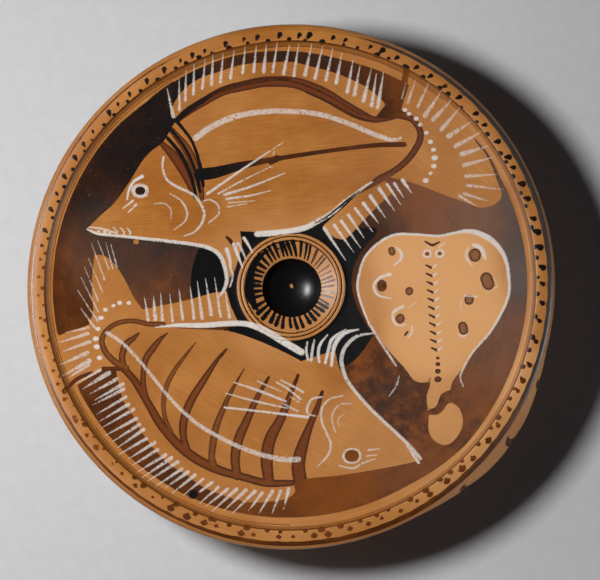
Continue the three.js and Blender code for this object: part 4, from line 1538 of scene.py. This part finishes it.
# %% [markdown]
# ## Into the frame
# The painted mesh stands for the clay body of the frame and moves with it.

# %% Replace the plain body
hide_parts("fish_plate")
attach(plate, "root")
print("painted plate", [round(value, 4) for value in plate.dimensions])

# %% [markdown]
# ## Camera, table and light
# The plate is seen almost straight from above, through a long lens from a little below its lower right.
# It stands on a pale table under one soft lamp up to its left, whose reflection is kept off the gloss
# as a polarising filter does. Two cards are seen only in the gloss. The left one draws the light on the
# lip and in the cup, and the right one draws the thin light on the right of the lip. A low strip card
# lights the plate's side and hardly touches the table.

# %% Camera
CAMERA_TILT = math.radians(8)
CAMERA_SIDE = math.radians(-60)
CAMERA_DISTANCE = 1.6
LENS = 194.9
SENSOR_WIDTH = 36
LOOKS_AT = Vector((0.00483, -0.00239, 0.05))
aside = math.sin(CAMERA_TILT)
toward = Vector((aside * math.cos(CAMERA_SIDE), aside * math.sin(CAMERA_SIDE), math.cos(CAMERA_TILT)))
right = Vector((0, 1, 0)).cross(toward).normalized()
up = toward.cross(right)
camera_data = bpy.data.cameras.new("camera")
camera_data.lens = LENS
camera_data.sensor_width = SENSOR_WIDTH
camera = bpy.data.objects.new("camera", camera_data)
turn_matrix = Matrix((right, up, toward)).transposed().to_4x4()
camera.matrix_world = Matrix.Translation(LOOKS_AT + toward * CAMERA_DISTANCE) @ turn_matrix
bpy.context.scene.collection.objects.link(camera)
bpy.context.scene.camera = camera
# plain colour handling, so that the paints keep the colours given to them
bpy.context.scene.view_settings.view_transform = "Standard"
print("camera at", [round(value, 3) for value in camera.matrix_world.translation])

# %% Table
TABLE_HALF = 3
# grains of the paper from one edge of the table to the other
GRAINS = 900
PAPER_DARK = "#C4C4C6"
PAPER_LIGHT = "#D0D0D1"
table_mesh = bpy.data.meshes.new("table")
corners = [(x * TABLE_HALF, y * TABLE_HALF, 0) for x, y in ((-1, -1), (1, -1), (1, 1), (-1, 1))]
table_mesh.from_pydata(corners, [], [(0, 1, 2, 3)])
table = bpy.data.objects.new("table", table_mesh)
bpy.context.scene.collection.objects.link(table)
paper = bpy.data.materials.new("pale_matt_paper")
paper.use_nodes = True
paper_tree = paper.node_tree
paper_shader = paper_tree.nodes["Principled BSDF"]
fibres = add(paper_tree, "ShaderNodeTexNoise", {"Scale": GRAINS, "Detail": 3}).outputs["Fac"]
inputs = {0: fibres, 6: linear(PAPER_DARK), 7: linear(PAPER_LIGHT)}
tint = add(paper_tree, "ShaderNodeMix", inputs, data_type="RGBA")
paper_tree.links.new(tint.outputs[2], paper_shader.inputs["Base Color"])
paper_shader.inputs["Roughness"].default_value = 0.9
table_mesh.materials.append(paper)
print("table", 2 * TABLE_HALF, "m across")

# %% Lamps
# name, place, width and height in metres, watts, and the one kind of light it gives
LAMPS = [
    ("soft_window", (-0.31, 0.03, 0.7), 0.17, 0.17, 5.6, "diffuse"),
    ("left_sheen", (-0.78, 0.1, 0.7), 0.5, 0.22, 16, "glossy"),
    ("right_sheen", (1.1, -0.15, 0.24), 0.5, 0.2, 5, "glossy"),
    ("low_card", (1.0, -0.8, 0.05), 0.6, 0.06, 4.2, "diffuse"),
]
for name, place_of_lamp, width, height, power, kind in LAMPS:
    lamp_data = bpy.data.lights.new(name, "AREA")
    lamp_data.shape = "ELLIPSE"
    lamp_data.size = width
    lamp_data.size_y = height
    lamp_data.energy = power
    lamp = bpy.data.objects.new(name, lamp_data)
    lamp.location = place_of_lamp
    lamp.rotation_euler = (-Vector(place_of_lamp)).to_track_quat("-Z", "Y").to_euler()
    lamp.visible_glossy = kind == "glossy"
    lamp.visible_diffuse = kind == "diffuse"
    bpy.context.scene.collection.objects.link(lamp)
print(len(LAMPS), "lamps")

# %% The dim room
ROOM_COLOUR = "#A9C4FF"
ROOM_LIGHT = 0.008
world = bpy.data.worlds.new("room")
world.use_nodes = True
world.node_tree.nodes["Background"].inputs["Color"].default_value = linear(ROOM_COLOUR)
world.node_tree.nodes["Background"].inputs["Strength"].default_value = ROOM_LIGHT
bpy.context.scene.world = world
print("room light", ROOM_LIGHT)
